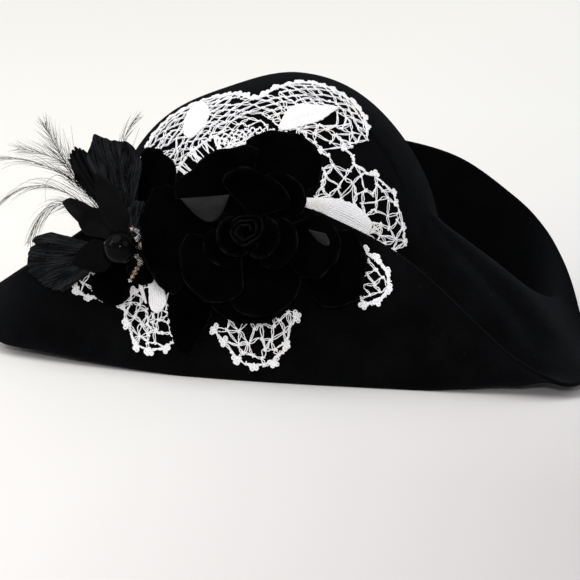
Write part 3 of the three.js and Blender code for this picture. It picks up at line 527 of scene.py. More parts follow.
def sheet_mesh(shape, surface, across, along, wall, rim, open_root=True, mark=None, painted_sheen=SHEEN_BAND):
    """A closed sheet round a middle surface of u and v, thinned to a round rim.

    The point value edge marks the rim over a width set by the last argument, the band where the velvet and
    satin materials paint a highlight, and ridge keeps what mark gives for the front.
    """
    u = np.linspace(0, 1, across + 1)[:, None] * np.ones((1, along + 1))
    v = np.linspace(0, 1, along + 1)[None, :] * np.ones((across + 1, 1))
    u = u - CROWD_SIDES * np.sin(2 * np.pi * u) / (2 * np.pi)
    v = v + CROWD_TIP * np.sin(np.pi * v) / np.pi
    middle = surface(u, v)
    normal = normal_of(surface, u, v, 0, 1, SHEET_STEP)
    step_u = np.linalg.norm(np.diff(middle, axis=0), axis=-1)
    step_v = np.linalg.norm(np.diff(middle, axis=1), axis=-1)
    zero_u = np.zeros((1, along + 1))
    from_left = np.concatenate([zero_u, np.cumsum(step_u, 0)])
    from_right = np.concatenate([np.cumsum(step_u[::-1], 0)[::-1], zero_u])
    zero_v = np.zeros((across + 1, 1))
    from_tip = np.concatenate([np.cumsum(step_v[:, ::-1], 1)[:, ::-1], zero_v], 1)
    away = np.minimum(np.minimum(from_left, from_right), from_tip)
    if not open_root:
        from_root = np.concatenate([zero_v, np.cumsum(step_v, 1)], 1)
        away = np.minimum(away, from_root)
    near = np.clip(1 - away / rim, 0, 1)
    half = wall / 2 * np.sqrt(np.clip(1 - (1 - RIM_THIN) * near ** 2, RIM_THIN, 1))
    front = middle + normal * half[..., None]
    rear = middle - normal * half[..., None]
    rows, columns = along + 1, across + 1
    # The rim band that edge marks is where the velvet and satin materials paint a highlight.
    edge = np.exp(-away / painted_sheen).ravel()
    ridge = (mark(u, v) if mark else np.zeros_like(u)).ravel()
    count = rows * columns
    border = np.concatenate([
        np.arange(columns) * rows,
        (columns - 1) * rows + np.arange(1, rows),
        (np.arange(columns - 2, -1, -1)) * rows + rows - 1,
        np.arange(rows - 2, 0, -1),
    ])
    following = np.roll(border, -1)
    band = np.stack([border, following, following + count, border + count], -1)
    shape.add(
        np.concatenate([front.reshape(-1, 3), rear.reshape(-1, 3)]),
        [grid_faces(columns, rows, flip=True), grid_faces(columns, rows, start=count), band],
        edge=np.concatenate([edge, edge]),
        ridge=np.concatenate([ridge, 1 - ridge]) if mark else 0.0,
    )


def tubes(shape, paths, normals, radius, sides=5):
    """Round threads along paths of shape (threads, places, 3), with normals that their rings start from."""
    paths = np.asarray(paths, float)
    count, places = paths.shape[:2]
    tangent = unit(np.gradient(paths, axis=1))
    normals = np.broadcast_to(normals, paths.shape)
    sideways = unit(np.cross(tangent, normals))
    upright = np.cross(sideways, tangent)
    turn = 2 * np.pi * np.arange(sides) / sides
    radius = np.broadcast_to(radius, (count, places))[..., None, None]
    rings = paths[:, :, None] + radius * (
        np.cos(turn)[:, None] * sideways[:, :, None] + np.sin(turn)[:, None] * upright[:, :, None]
    )
    base = np.arange(count)[:, None, None] * places * sides
    ring = np.arange(places - 1)[None, :, None] * sides
    k = np.arange(sides)[None, None, :]
    after = (k + 1) % sides
    a = base + ring + k
    b = base + ring + after
    faces = np.stack([a, b, b + sides, a + sides], -1).reshape(-1, 4)
    ends = np.arange(count)[:, None] * places * sides + np.arange(sides)[None]
    shape.add(rings.reshape(-1, 3), [faces, ends[:, ::-1], ends + (places - 1) * sides])


def ball(rings, sides):
    """Points and faces of a unit ball with its axis along z."""
    points = [(0, 0, 1)]
    for ring in range(1, rings):
        down = math.pi * ring / rings
        for k in range(sides):
            turn = 2 * math.pi * k / sides
            points.append((math.sin(down) * math.cos(turn), math.sin(down) * math.sin(turn), math.cos(down)))
    points.append((0, 0, -1))
    fours, threes = [], []
    for k in range(sides):
        threes.append((0, 1 + k, 1 + (k + 1) % sides))
        last = 1 + (rings - 2) * sides
        threes.append((last + (k + 1) % sides, last + k, len(points) - 1))
        for ring in range(rings - 2):
            a = 1 + ring * sides + k
            b = 1 + ring * sides + (k + 1) % sides
            fours.append((a, a + sides, b + sides, b))
    return np.array(points, float), np.array(fours), np.array(threes)


BLOB_UNEVEN = 0.22
BLOB_RINGS = 3
BLOB_SIDES = 6


def blobs(shape, centres, normals, radii, flat, seed):
    """Small knots: uneven balls flattened along their normals."""
    rng = np.random.default_rng(seed)
    points, fours, threes = ball(BLOB_RINGS, BLOB_SIDES)
    count = len(centres)
    helper = np.where(np.abs(normals[:, 2:3]) > 0.8, [[1.0, 0, 0]], [[0, 0, 1.0]])
    first = unit(np.cross(normals, helper))
    second = np.cross(normals, first)
    lumpy = points[None] * (1 + rng.uniform(-BLOB_UNEVEN, BLOB_UNEVEN, (count, len(points), 1)))
    lumpy = lumpy * np.asarray(radii, float).reshape(-1, 1, 1)
    placed = (
        centres[:, None] + lumpy[..., :1] * first[:, None] + lumpy[..., 1:2] * second[:, None]
        + lumpy[..., 2:3] * flat * normals[:, None]
    )
    base = np.arange(count)[:, None, None] * len(points)
    shape.add(placed.reshape(-1, 3), [(base + fours).reshape(-1, 4), (base + threes).reshape(-1, 3)])


def new_material(name):
    material = bpy.data.materials.new(name)
    material.use_nodes = True
    return material, material.node_tree


def node(tree, kind, **settings):
    made = tree.nodes.new(kind)
    for key, value in settings.items():
        setattr(made, key, value)
    return made


def feed(tree, socket, value):
    """Links a socket to another one, or sets its plain value."""
    if hasattr(value, "links"):
        tree.links.new(value, socket)
    else:
        socket.default_value = value


def place_noise(tree, scale, detail, roughness, stretch=None):
    """Noise over the object's own metres."""
    coordinate = node(tree, "ShaderNodeTexCoord")
    noise = node(tree, "ShaderNodeTexNoise")
    for key, value in (("Scale", scale), ("Detail", detail), ("Roughness", roughness)):
        noise.inputs[key].default_value = value
    source = coordinate.outputs["Object"]
    if stretch:
        mapping = node(tree, "ShaderNodeMapping")
        mapping.inputs["Scale"].default_value = stretch
        tree.links.new(source, mapping.inputs["Vector"])
        source = mapping.outputs["Vector"]
    tree.links.new(source, noise.inputs["Vector"])
    return noise.outputs["Fac"]


def ramp(tree, source, stops):
    made = node(tree, "ShaderNodeValToRGB")
    elements = made.color_ramp.elements
    while len(elements) < len(stops):
        elements.new(0.5)
    for element, (position, colour) in zip(elements, stops):
        element.position = position
        element.color = (*colour, 1)
    tree.links.new(source, made.inputs["Fac"])
    return made.outputs["Color"]


def mix_colours(tree, factor, first, second, blend="MIX"):
    made = node(tree, "ShaderNodeMix", data_type="RGBA", blend_type=blend)
    colours = [socket for socket in made.inputs if socket.type == "RGBA"]
    factors = [socket for socket in made.inputs if socket.type == "VALUE" and socket.name == "Factor"]
    for socket, value in ((factors[0], factor), (colours[0], first), (colours[1], second)):
        feed(tree, socket, (*value, 1) if isinstance(value, tuple) else value)
    return [socket for socket in made.outputs if socket.type == "RGBA"][0]


def maths(tree, operation, first, second):
    made = node(tree, "ShaderNodeMath", operation=operation)
    for socket, value in zip(made.inputs, (first, second)):
        feed(tree, socket, value)
    return made.outputs[0]


def attribute(tree, name):
    return node(tree, "ShaderNodeAttribute", attribute_name=name).outputs["Fac"]


def grey(share):
    return (share, share, share)


def finished(material, colour, layers, **values):
    """Gives a material its colour, values and bumps, each a height, a strength and a depth in metres."""
    tree = material.node_tree
    shader = tree.nodes["Principled BSDF"]
    tree.links.new(colour, shader.inputs["Base Color"])
    for key, value in values.items():
        feed(tree, shader.inputs[key.replace("_", " ")], value)
    normal = None
    for height, strength, distance in layers:
        made = node(tree, "ShaderNodeBump")
        made.inputs["Strength"].default_value = strength
        made.inputs["Distance"].default_value = distance
        tree.links.new(height, made.inputs["Height"])
        if normal is not None:
            tree.links.new(normal, made.inputs["Normal"])
        normal = made.outputs["Normal"]
    tree.links.new(normal, shader.inputs["Normal"])
    return material


def felt_material():
    material, tree = new_material("felt")
    cloudy = place_noise(tree, 35, 4, 0.6)
    fibres = place_noise(tree, 900, 5, 0.65)
    lint = place_noise(tree, 420, 2, 0.4)
    tone = ramp(tree, cloudy, [(0.3, (0.0010, 0.0010, 0.0011)), (0.7, (0.0024, 0.0025, 0.0027))])
    specks = ramp(tree, lint, [(0.68, grey(0)), (0.86, grey(1))])
    colour = mix_colours(tree, maths(tree, "MULTIPLY", specks, 0.6), tone, (0.009, 0.0092, 0.010))
    layers = [(cloudy, 0.3, 0.002), (fibres, 0.8, 0.0008)]
    return finished(
        material, colour, layers, Roughness=1.0, Specular_IOR_Level=0.0, Sheen_Weight=0.021,
        Sheen_Roughness=0.5, Sheen_Tint=(0.8, 0.85, 1, 1),
    )


def lace_material():
    material, tree = new_material("lace")
    twist = place_noise(tree, 1500, 2, 0.5)
    patch = place_noise(tree, 45, 3, 0.5)
    clean, white, aged = (0.74, 0.735, 0.75), (0.79, 0.785, 0.80), (0.76, 0.735, 0.69)
    tone = ramp(tree, patch, [(0.3, clean), (0.55, white), (0.8, aged)])
    shade = ramp(tree, twist, [(0.25, (0.86, 0.86, 0.87)), (0.7, grey(1))])
    colour = mix_colours(tree, 1.0, tone, shade, "MULTIPLY")
    return finished(
        material, colour, [(twist, 0.35, 0.0003)], Roughness=0.9, Specular_IOR_Level=0.2, Sheen_Weight=0.1,
        Sheen_Roughness=0.5,
    )


def velvet_material():
    material, tree = new_material("velvet")
    pile = place_noise(tree, 1600, 3, 0.6)
    brushed = place_noise(tree, 60, 3, 0.55)
    # The edge value, broken into patches by patchy, mixes the velvet towards grey along its rims: a painted
    # highlight where the rims catch the light.
    edge = attribute(tree, "edge")
    patchy = ramp(tree, place_noise(tree, 170, 2, 0.5), [(0.40, grey(0.1)), (0.62, grey(1))])
    painted_sheen = maths(tree, "MULTIPLY", edge, patchy)
    tone = ramp(tree, brushed, [(0.35, (0.0004, 0.0004, 0.0005)), (0.7, (0.0010, 0.0010, 0.0011))])
    colour = mix_colours(tree, painted_sheen, tone, (0.0085, 0.0085, 0.009))
    layers = [(brushed, 0.3, 0.002), (pile, 0.5, 0.0004)]
    return finished(
        material, colour, layers, Roughness=1.0, Specular_IOR_Level=0.0, Sheen_Weight=0.005,
        Sheen_Roughness=0.35,
    )


def satin_material(name="satin", dark=1.0, tint=(1.0, 1.0, 1.0)):
    material, tree = new_material(name)

    def toned(*colour):
        return tuple(dark * part * share for part, share in zip(colour, tint))

    weave = place_noise(tree, 1400, 2, 0.5, (1.0, 1.0, 0.15))
    folds = place_noise(tree, 55, 3, 0.5)
    tone = ramp(tree, folds, [(0.3, toned(0.0018, 0.0019, 0.0023)), (0.7, toned(0.0050, 0.0052, 0.0060))])
    edge = attribute(tree, "edge")
    # The edge value mixes the satin towards a lighter grey along its rims: a painted highlight on the edges.
    colour = mix_colours(tree, maths(tree, "MULTIPLY", edge, 0.5), tone, toned(0.012, 0.0125, 0.014))
    layers = [(folds, 0.35, 0.004), (weave, 0.15, 0.0002)]
    return finished(material, colour, layers, Roughness=0.5, Specular_IOR_Level=0.1 * dark)


def crinkled_material(name="crinkled", light=1.0):
    material, tree = new_material(name)
    fine = place_noise(tree, 700, 4, 0.6)
    patches = place_noise(tree, 90, 3, 0.5)
    lines = place_noise(tree, 330, 2, 0.45)
    # Thin lines along this noise are painted highlights on fine crinkles.
    crease_highlights = ramp(tree, lines, [(0.45, grey(0)), (0.5, grey(1)), (0.55, grey(0))])
    tone = ramp(tree, patches, [(0.3, (0.0004, 0.0004, 0.0005)), (0.7, (0.0012, 0.0013, 0.0015))])
    # The crests of the wrinkles, read from ridge, are painted lighter as highlights; light scales all these
    # painted highlights.
    ridges = maths(tree, "MULTIPLY", maths(tree, "POWER", attribute(tree, "ridge"), 4.0), light)
    painted_sheen = maths(tree, "MAXIMUM", ridges, maths(tree, "MULTIPLY", crease_highlights, 0.55 * light))
    colour = mix_colours(tree, painted_sheen, tone, (0.0125, 0.0132, 0.0148))
    return finished(material, colour, [(fine, 0.5, 0.0005)], Roughness=0.6, Specular_IOR_Level=0.035)


def feather_material():
    material, tree = new_material("feather")
    strands = place_noise(tree, 800, 2, 0.5)
    tone = ramp(tree, strands, [(0.3, (0.003, 0.003, 0.0033)), (0.7, (0.009, 0.009, 0.0095))])
    return finished(material, tone, [(strands, 0.3, 0.0002)], Roughness=0.6, Specular_IOR_Level=0.12)


def bead_material():
    material, tree = new_material("bead")
    streaks = place_noise(tree, 130, 2, 0.5)
    tone = ramp(tree, streaks, [(0.3, (0.0008, 0.0008, 0.0010)), (0.8, (0.0022, 0.0022, 0.0026))])
    rough = ramp(tree, streaks, [(0.3, grey(0.03)), (0.8, grey(0.07))])
    return finished(material, tone, [(streaks, 0.02, 0.001)], Roughness=rough, Specular_IOR_Level=0.035)


def crystal_material():
    material, tree = new_material("crystal")
    tint = place_noise(tree, 260, 1, 0.5)
    clear, dark, amber, pale = (0.80, 0.82, 0.86), (0.16, 0.16, 0.18), (0.50, 0.26, 0.10), (0.75, 0.76, 0.8)
    tone = ramp(tree, tint, [(0.40, clear), (0.50, dark), (0.60, amber), (0.7, pale)])
    return finished(
        material, tone, [(tint, 0.05, 0.0005)], Roughness=0.04, Transmission_Weight=0.75, IOR=1.55,
        Specular_IOR_Level=0.8,
    )


def floor_material():
    """A backdrop with painted light and shade: lighter at the left, painted shade darkening it towards the
    near right.
    """
    material, tree = new_material("floor")
    coordinate = node(tree, "ShaderNodeTexCoord")
    split = node(tree, "ShaderNodeSeparateXYZ")
    tree.links.new(coordinate.outputs["Object"], split.inputs["Vector"])
    shares = []
    for axis, start, end in (("X", -0.3, 0.32), ("Y", 0.9, -0.25)):
        sweep = node(tree, "ShaderNodeMapRange")
        sweep.inputs["From Min"].default_value = start
        sweep.inputs["From Max"].default_value = end
        tree.links.new(split.outputs[axis], sweep.inputs["Value"])
        shares.append(sweep.outputs["Result"])
    far = ramp(tree, shares[0], [(0.0, (0.81, 0.805, 0.775)), (1.0, (0.705, 0.71, 0.71))])
    near_left, near_middle, near_right = (0.79, 0.77, 0.74), (0.66, 0.645, 0.635), (0.43, 0.41, 0.415)
    near = ramp(tree, shares[0], [(0.0, near_left), (0.5, near_middle), (1.0, near_right)])
    tone = mix_colours(tree, shares[1], far, near)
    grain = place_noise(tree, 300, 3, 0.5)
    return finished(material, tone, [(grain, 0.05, 0.0005)], Roughness=0.9, Specular_IOR_Level=0.1)


FINISH = {
    "felt": felt_material(),
    "lace": lace_material(),
    "velvet": velvet_material(),
    "satin": satin_material(),
    "crinkled": crinkled_material(),
    "feather": feather_material(),
    "bead": bead_material(),
    "crystal": crystal_material(),
    # Copies of the crinkled finish differ only in the strength of their painted highlights: faint on
    # top_small, doubled on small.
    "crinkled_dark": crinkled_material("crinkled_dark", 0.35),
    "crinkled_bright_sheen": crinkled_material("crinkled_bright_sheen", 2.0),
    "satin_deep": satin_material("satin_deep", 0.42),
    "satin_shade": satin_material("satin_shade", 0.2, (1.1, 1.0, 0.97)),
}
# Petals of the smaller flower that look other than their slot's plain finish.
FLOWER_FINISH = {
    "back_dark": "velvet",
    "top_small": "crinkled_dark",
    # small takes the doubled painted highlights: painted light on a petal that lies in shade.
    "small": "crinkled_bright_sheen",
    "satin_left": "satin_deep",
    "leaf": "satin_deep",
    "rim": "satin_deep",
    "satin_low": "satin_shade",
}


# The felt's mesh, its cut edge and its soft unevenness, which nearly stops under the trimming.
FELT_STATIONS = 300
CROWN_RINGS = 34
BRIM_RINGS = 62
FELT_STEP = 4e-4
EDGE_STEP = 1e-3
CUT_ROUND = 1.0
CUT_TURNS = (0.35, 0.7, 1.0, 1.3, 1.65)
CUT_MARK_ROWS = 2.0
UNEVEN = 0.35
UNEVEN_SIZE = 75
UNEVEN_TRIMMED = 0.15
CALM_FROM, CALM_TO = 3, 16
TRIMMED_Y = -20
TRIMMED_X = 125


def make_felt():
    """The felt: two skins a wall apart, closed by a round cut edge."""
    stations = FELT_STATIONS
    s = (np.arange(stations) / stations)[:, None]
    last = felt_point(s, 2.0)
    pace = np.linalg.norm(last - felt_point(s, 2 - EDGE_STEP), axis=-1) / EDGE_STEP
    trim = CUT_ROUND / pace
    crown = np.linspace(0, 1, CROWN_RINGS + 1)[1:][None, :] * np.ones((stations, 1))
    level = np.linspace(0, 1, BRIM_RINGS + 1)[1:][None, :]
    brim = 1 + level * (1 - trim)
    v = np.concatenate([crown, brim], 1)
    s = s * np.ones_like(v)
    middle = felt_point(s, v)
    normal = normal_of(felt_point, s, v, 0, 2, FELT_STEP)
    uneven = ripple(middle[..., 0], middle[..., 1] + middle[..., 2], 3, UNEVEN_SIZE)
    calm = smoothstep(CALM_FROM, CALM_TO, middle[..., 2])
    trimmed = (middle[..., 1] < TRIMMED_Y) & (np.abs(middle[..., 0]) < TRIMMED_X)
    middle = middle + normal * (UNEVEN * uneven * calm * np.where(trimmed, UNEVEN_TRIMMED, 1))[..., None]
    outward = unit(middle[:, -1] - middle[:, -3])
    half = FELT_WALL / 2
    bows = []
    for turn in CUT_TURNS:
        angle = math.pi * turn / 2
        bow = normal[:, -1] * (half * math.cos(angle)) + outward * (CUT_ROUND * math.sin(angle))
        bows.append(middle[:, -1] + bow)
    outer = middle + normal * half
    inner = middle - normal * half
    strip = np.concatenate([outer, np.stack(bows, 1), inner[:, ::-1]], 1)
    rows = strip.shape[1]
    shape = Shape()
    points = strip.reshape(-1, 3)
    tops = felt_point(np.array([0.0, 0.0]), np.array([0.0, 0.0])) + np.array([[0, 0, half], [0, 0, -half]])
    ring = np.arange(rows)
    cut = np.exp(-np.abs(ring - (len(v[0]) + 2)) / CUT_MARK_ROWS)[None, :] * np.ones((stations, 1))
    shape.add(
        np.concatenate([points, tops]),
        closed_faces(stations, rows),
        edge=np.concatenate([cut.ravel(), [0, 0]]),
    )
    shape.piece("felt_body", "felt", name="felt_visual")


make_felt()


# Radii of the lace's threads and knots, with the smaller lumps beside a knot.
THREAD = 0.31
CHAIN_THREAD = 0.36
EDGE_THREAD = 0.42
PICOT_THREAD = 0.5
KNOT = 0.95
LUMPS = 3
LUMP = 0.62
LUMP_SPREAD = 0.85
LUMP_REACH = 1.15
KNOT_FLAT = 0.6
# Links: the shortest one laid, and the spread of their sag, twist, ends, roughness and height.
LINK_SHORTEST = 0.8
LINK_SAG = 0.05
LINK_TWIST = 0.3
LINK_ENDS = 0.3
LINK_ROUGH = 0.05
LINK_HEIGHT = 0.12
# Picots: three loops at these turns, and how long and wide each is.
PICOT_TURNS = (-1.2, -0.05, 1.1)
PICOT_REACH = 2.9
PICOT_WIDTH = 0.92
PICOT_HEART = 0.85
# How far the edge chain lies inside the doily's outline, and the lift of threads off the felt.
OUTLINE_BACK = 2.6
THREAD_LIFT = 0.3
# Leaves: the rows' pitch, the stitches' length, and the height of the leaf, its rows and its stitches.
LEAF_ROW = 1.45
LEAF_STITCH = 2.6
LEAF_BASE, LEAF_CROWN, LEAF_RIB, LEAF_STITCH_HEIGHT = 0.15, 0.55, 0.36, 0.12
LEAF_LACE_WALL = 0.8
# Knots and threads are left out over a leaf, within these shares of its width.
LEAF_CLEAR_KNOT = 0.8
LEAF_CLEAR_THREAD = 0.85
# Share of a table's links with a third strand, and the knots' size there.
THIRD_STRAND = 0.22
TABLE_KNOT = 1.05

# Places along a link, round a picot's loop and along the edge chain between two picots.
LINK_PLACES = 6
PICOT_PLACES = 11
EDGE_PLACES = 9

# Places of single knots on the flat doily where its cells are large and uneven, and the threads between
# them, as paths from knot to knot.
CROWN_KNOTS = {
    "a1": (43.5, 35.6), "a2": (39.4, 30.2), "a3": (50.4, 29.5), "a4": (37.1, 21.6), "a5": (47.2, 23.4),
    "a6": (55.7, 26.7), "a7": (56.4, 39.0), "a8": (61.1, 33.2), "a9": (63.9, 24.4), "a10": (58.2, 20.4),
    "a11": (41.6, 17.5), "a12": (33.7, 15.8), "a13": (48.5, 16.9), "a14": (56.4, 14.8), "a15": (61.7, 15.5),
    "a16": (70.7, 35.1), "a17": (71.7, 28.7), "a18": (71.0, 18.4), "a19": (70.5, 12.7), "a20": (64.0, 9.4),
    "a21": (79.2, 11.0), "a22": (79.6, 22.3), "a23": (84.1, 27.0), "a24": (85.4, 20.3), "a25": (74.2, 5.2),
    "a26": (79.8, 3.6), "a27": (86.4, 9.1), "a28": (90.7, 6.0), "a29": (73.3, -1.6), "a30": (84.8, -2.3),
    "a31": (92.0, -3.3), "a32": (83.5, -9.1), "a33": (67.3, 5.4), "a34": (64.4, 35.2), "a35": (76.4, 31.4),
    "a36": (88.5, 14.8), "a37": (53.2, 34.2), "a38": (68.3, 22.4), "a39": (76.2, 26.1), "a40": (61.4, 1.0),
    "a41": (67.9, -0.3), "a42": (76.9, -6.1), "a43": (91.8, 1.7), "a44": (36.8, 33.1), "a45": (37.7, 25.8),
    "b1": (35.6, 44.4), "b2": (48.9, 49.2), "b3": (31.3, 48.6), "b4": (30.3, 55.0), "b5": (40.9, 51.0),
    "b6": (37.6, 59.7), "b7": (43.3, 56.6), "b8": (47.3, 54.2), "b9": (24.2, 55.1), "b10": (47.4, 62.6),
    "b11": (54.4, 60.6), "b12": (43.4, 63.5), "b13": (54.4, 50.5), "b14": (55.6, 43.9), "b15": (40.3, 41.5),
    "b16": (26.6, 50.6), "b17": (52.7, 53.0), "b18": (32.3, 61.3), "b19": (19.2, 57.0), "b20": (57.4, 54.6),
}
CROWN_THREADS = (
    "a44-a1-a2 a44-a2 a1-a3 a1-a37-a7 a37-a3 a2-a5 a2-a45-a4 a2-a4 a3-a5 a3-a6 a4-a11-a5-a13 a6-a13 "
    "a6-a10 a6-a8 a7-a34 a7-a8-a9 a8-a34 a9-a10 a9-a15 a9-a38-a17 a10-a14 a6-a14 a17-a18 a17-a39-a22 "
    "a18-a15 a18-a19-a20 a19-a21 a15-a20 a18-a22-a21 a22-a24 a39-a23 a21-a36 a21-a26-a25 a26-a27-a36 "
    "a27-a28 a25-a33 a25-a29 a25-a41 a26-a30 a28-a30 a29-a30 a29-a42 a30-a42 a30-a31 a30-a32 a33-a41 "
    "a40-a41-a29 a4-a12 a11-a12 a16-a17 b1-b3-b4 b3-b16 b4-b9 b4-b5 b4-b6 b5-b2 b5-b7 b6-b7-b8-b2 b8-b17 "
    "b6-b12 b6-b18 b7-b11 b12-b10-b11 b18-b12 b18-b4 b9-b19 b9-b16 b17-b11-b20 b1-b2 b1-b15-a1 b17-b2"
)
CROWN_EDGES = (
    "b20-b17-b13-b2-b14-a7-a34-a16-a35-a23-a24-a36-a28-a43-a31-a32"
)
CROWN_PICOTS = "a16 a23 a24 a28 a31 a32 b2 b1"
LARGE_PICOTS = {"a16": 1.3}
FLAP_KNOTS = {
    "e1": (-43.7, -33.9), "e2": (-48.5, -37.2), "e3": (-54.5, -44.2), "e5": (-52.3, -48.7),
    "e6": (-49.2, -42.7), "e7": (-44.4, -43.4), "e8": (-42.3, -39.3), "e9": (-47, -50.9),
    "e10": (-39.4, -46.2), "e11": (-50.7, -55.2), "e12": (-48.2, -59.7), "e13": (-42.1, -54.5),
    "e14": (-38, -54.5), "e15": (-34.9, -53.1), "e16": (-31.3, -51.4), "e17": (-30.6, -45),
    "e18": (-25, -47.4), "e19": (-25, -52.4), "e20": (-32.5, -57.7), "e21": (-37.1, -59.9),
    "e22": (-42.7, -61.6), "e23": (-37.8, -64.9), "e24": (-33.2, -64.3), "e25": (-44.4, -67.2),
    "e26": (-36.4, -69.8), "e27": (-26.5, -67.2), "e28": (-22.2, -64), "e29": (-20.2, -60.1),
    "e30": (-23.1, -58.6), "e31": (-28.4, -58.7), "e32": (-46.4, -64.2), "e33": (-38.8, -49.9),
    "e34": (-35.1, -48.2), "e35": (-27.4, -41.3), "e36": (-42.1, -29.2), "e37": (-40.9, -24.6),
    "e38": (-45.3, -47.3), "f1": (3.9, -54.5), "f2": (12.2, -48.8), "f3": (10.9, -54.2),
    "f4": (18.5, -54.2), "f5": (23.5, -47.6), "f6": (9.8, -61.2), "f7": (18.4, -62.4), "f8": (24.4, -61.1),
    "f9": (27.6, -52.1), "f10": (31.2, -50.4), "f11": (32.2, -58), "f12": (37.5, -58.1),
    "f13": (39.1, -50.6), "f14": (42.3, -46.6), "f15": (45.2, -53.1), "f16": (47.1, -41.5),
    "f17": (51.7, -43.8), "f18": (49, -48.8), "f19": (46.3, -60.3), "f20": (34.2, -63.4),
    "f21": (39.9, -63.9), "f22": (27.3, -68.2), "f23": (32.9, -68.8), "f24": (17.8, -70.3),
    "f25": (28.1, -73.7), "f26": (39.4, -70.9), "f27": (21, -66.6), "f29": (23, -73.1), "f30": (42, -67.2),
    "f31": (13.7, -66.2), "f32": (33.8, -72.7), "f33": (6.1, -58), "f34": (44.4, -65), "f35": (48, -55),
    "f36": (17.2, -45.7), "f37": (31.7, -45.3), "f38": (38.2, -43.8),
}
FLAP_THREADS = (
    "e1-e8 e2-e8 e2-e6 e8-e7 e6-e7 e6-e3 e6-e5 e7-e38-e9 e7-e10 e38-e10 e5-e9-e13 e9-e11 e10-e33-e13 "
    "e33-e14 e34-e15 e34-e14 e17-e16 e17-e18 e16-e15 e18-e16-e19 e16-e20 e15-e20 e14-e21 e14-e20 e13-e21 "
    "e13-e22 e13-e14 e11-e22-e21-e20-e31-e30 e19-e30 e22-e32 e22-e23 e21-e23 e20-e24-e27 e23-e24 e23-e26 "
    "e25-e22 e35-e17 e35-e18 e37-e36-e1 e36-e8 e37-e1 f1-f3 f2-f3 f2-f4 f3-f4-f5 f3-f7 f4-f7 f4-f8 f7-f8 "
    "f6-f7-f27-f8-f9-f10 f8-f11 f10-f11 f8-f22-f23 f11-f20-f23 f11-f12-f13-f14 f13-f10 f12-f15 "
    "f14-f15-f19 f15-f18 f16-f18 f16-f14 f16-f17 f12-f21 f20-f21-f19 f21-f30-f26 f27-f24 f27-f22 f23-f32 "
    "f9-f5-f36-f2 f5-f37-f10 f37-f38-f13 f38-f14 f12-f20 f9-f37"
)
FLAP_EDGES = (
    "e37-e36-e1-e2-e3-e5-e11-e12-e32-e25-e26-e27-e28-e29-e30-e19-e18-e35 "
    "f1-f33-f6-f31-f24-f29-f25-f32-f26-f30-f34-f19-f35-f18-f17"
)
FLAP_PICOTS = "e2 e3 e11 e25 e26 e27 e29 f1 f6 f24 f25 f26 f19 f17"


def neighbours(paths):
    """The pairs of knots that follow each other in a table's paths."""
    knots = [path.split("-") for path in paths.split()]
    return [pair for path in knots for pair in zip(path, path[1:])]


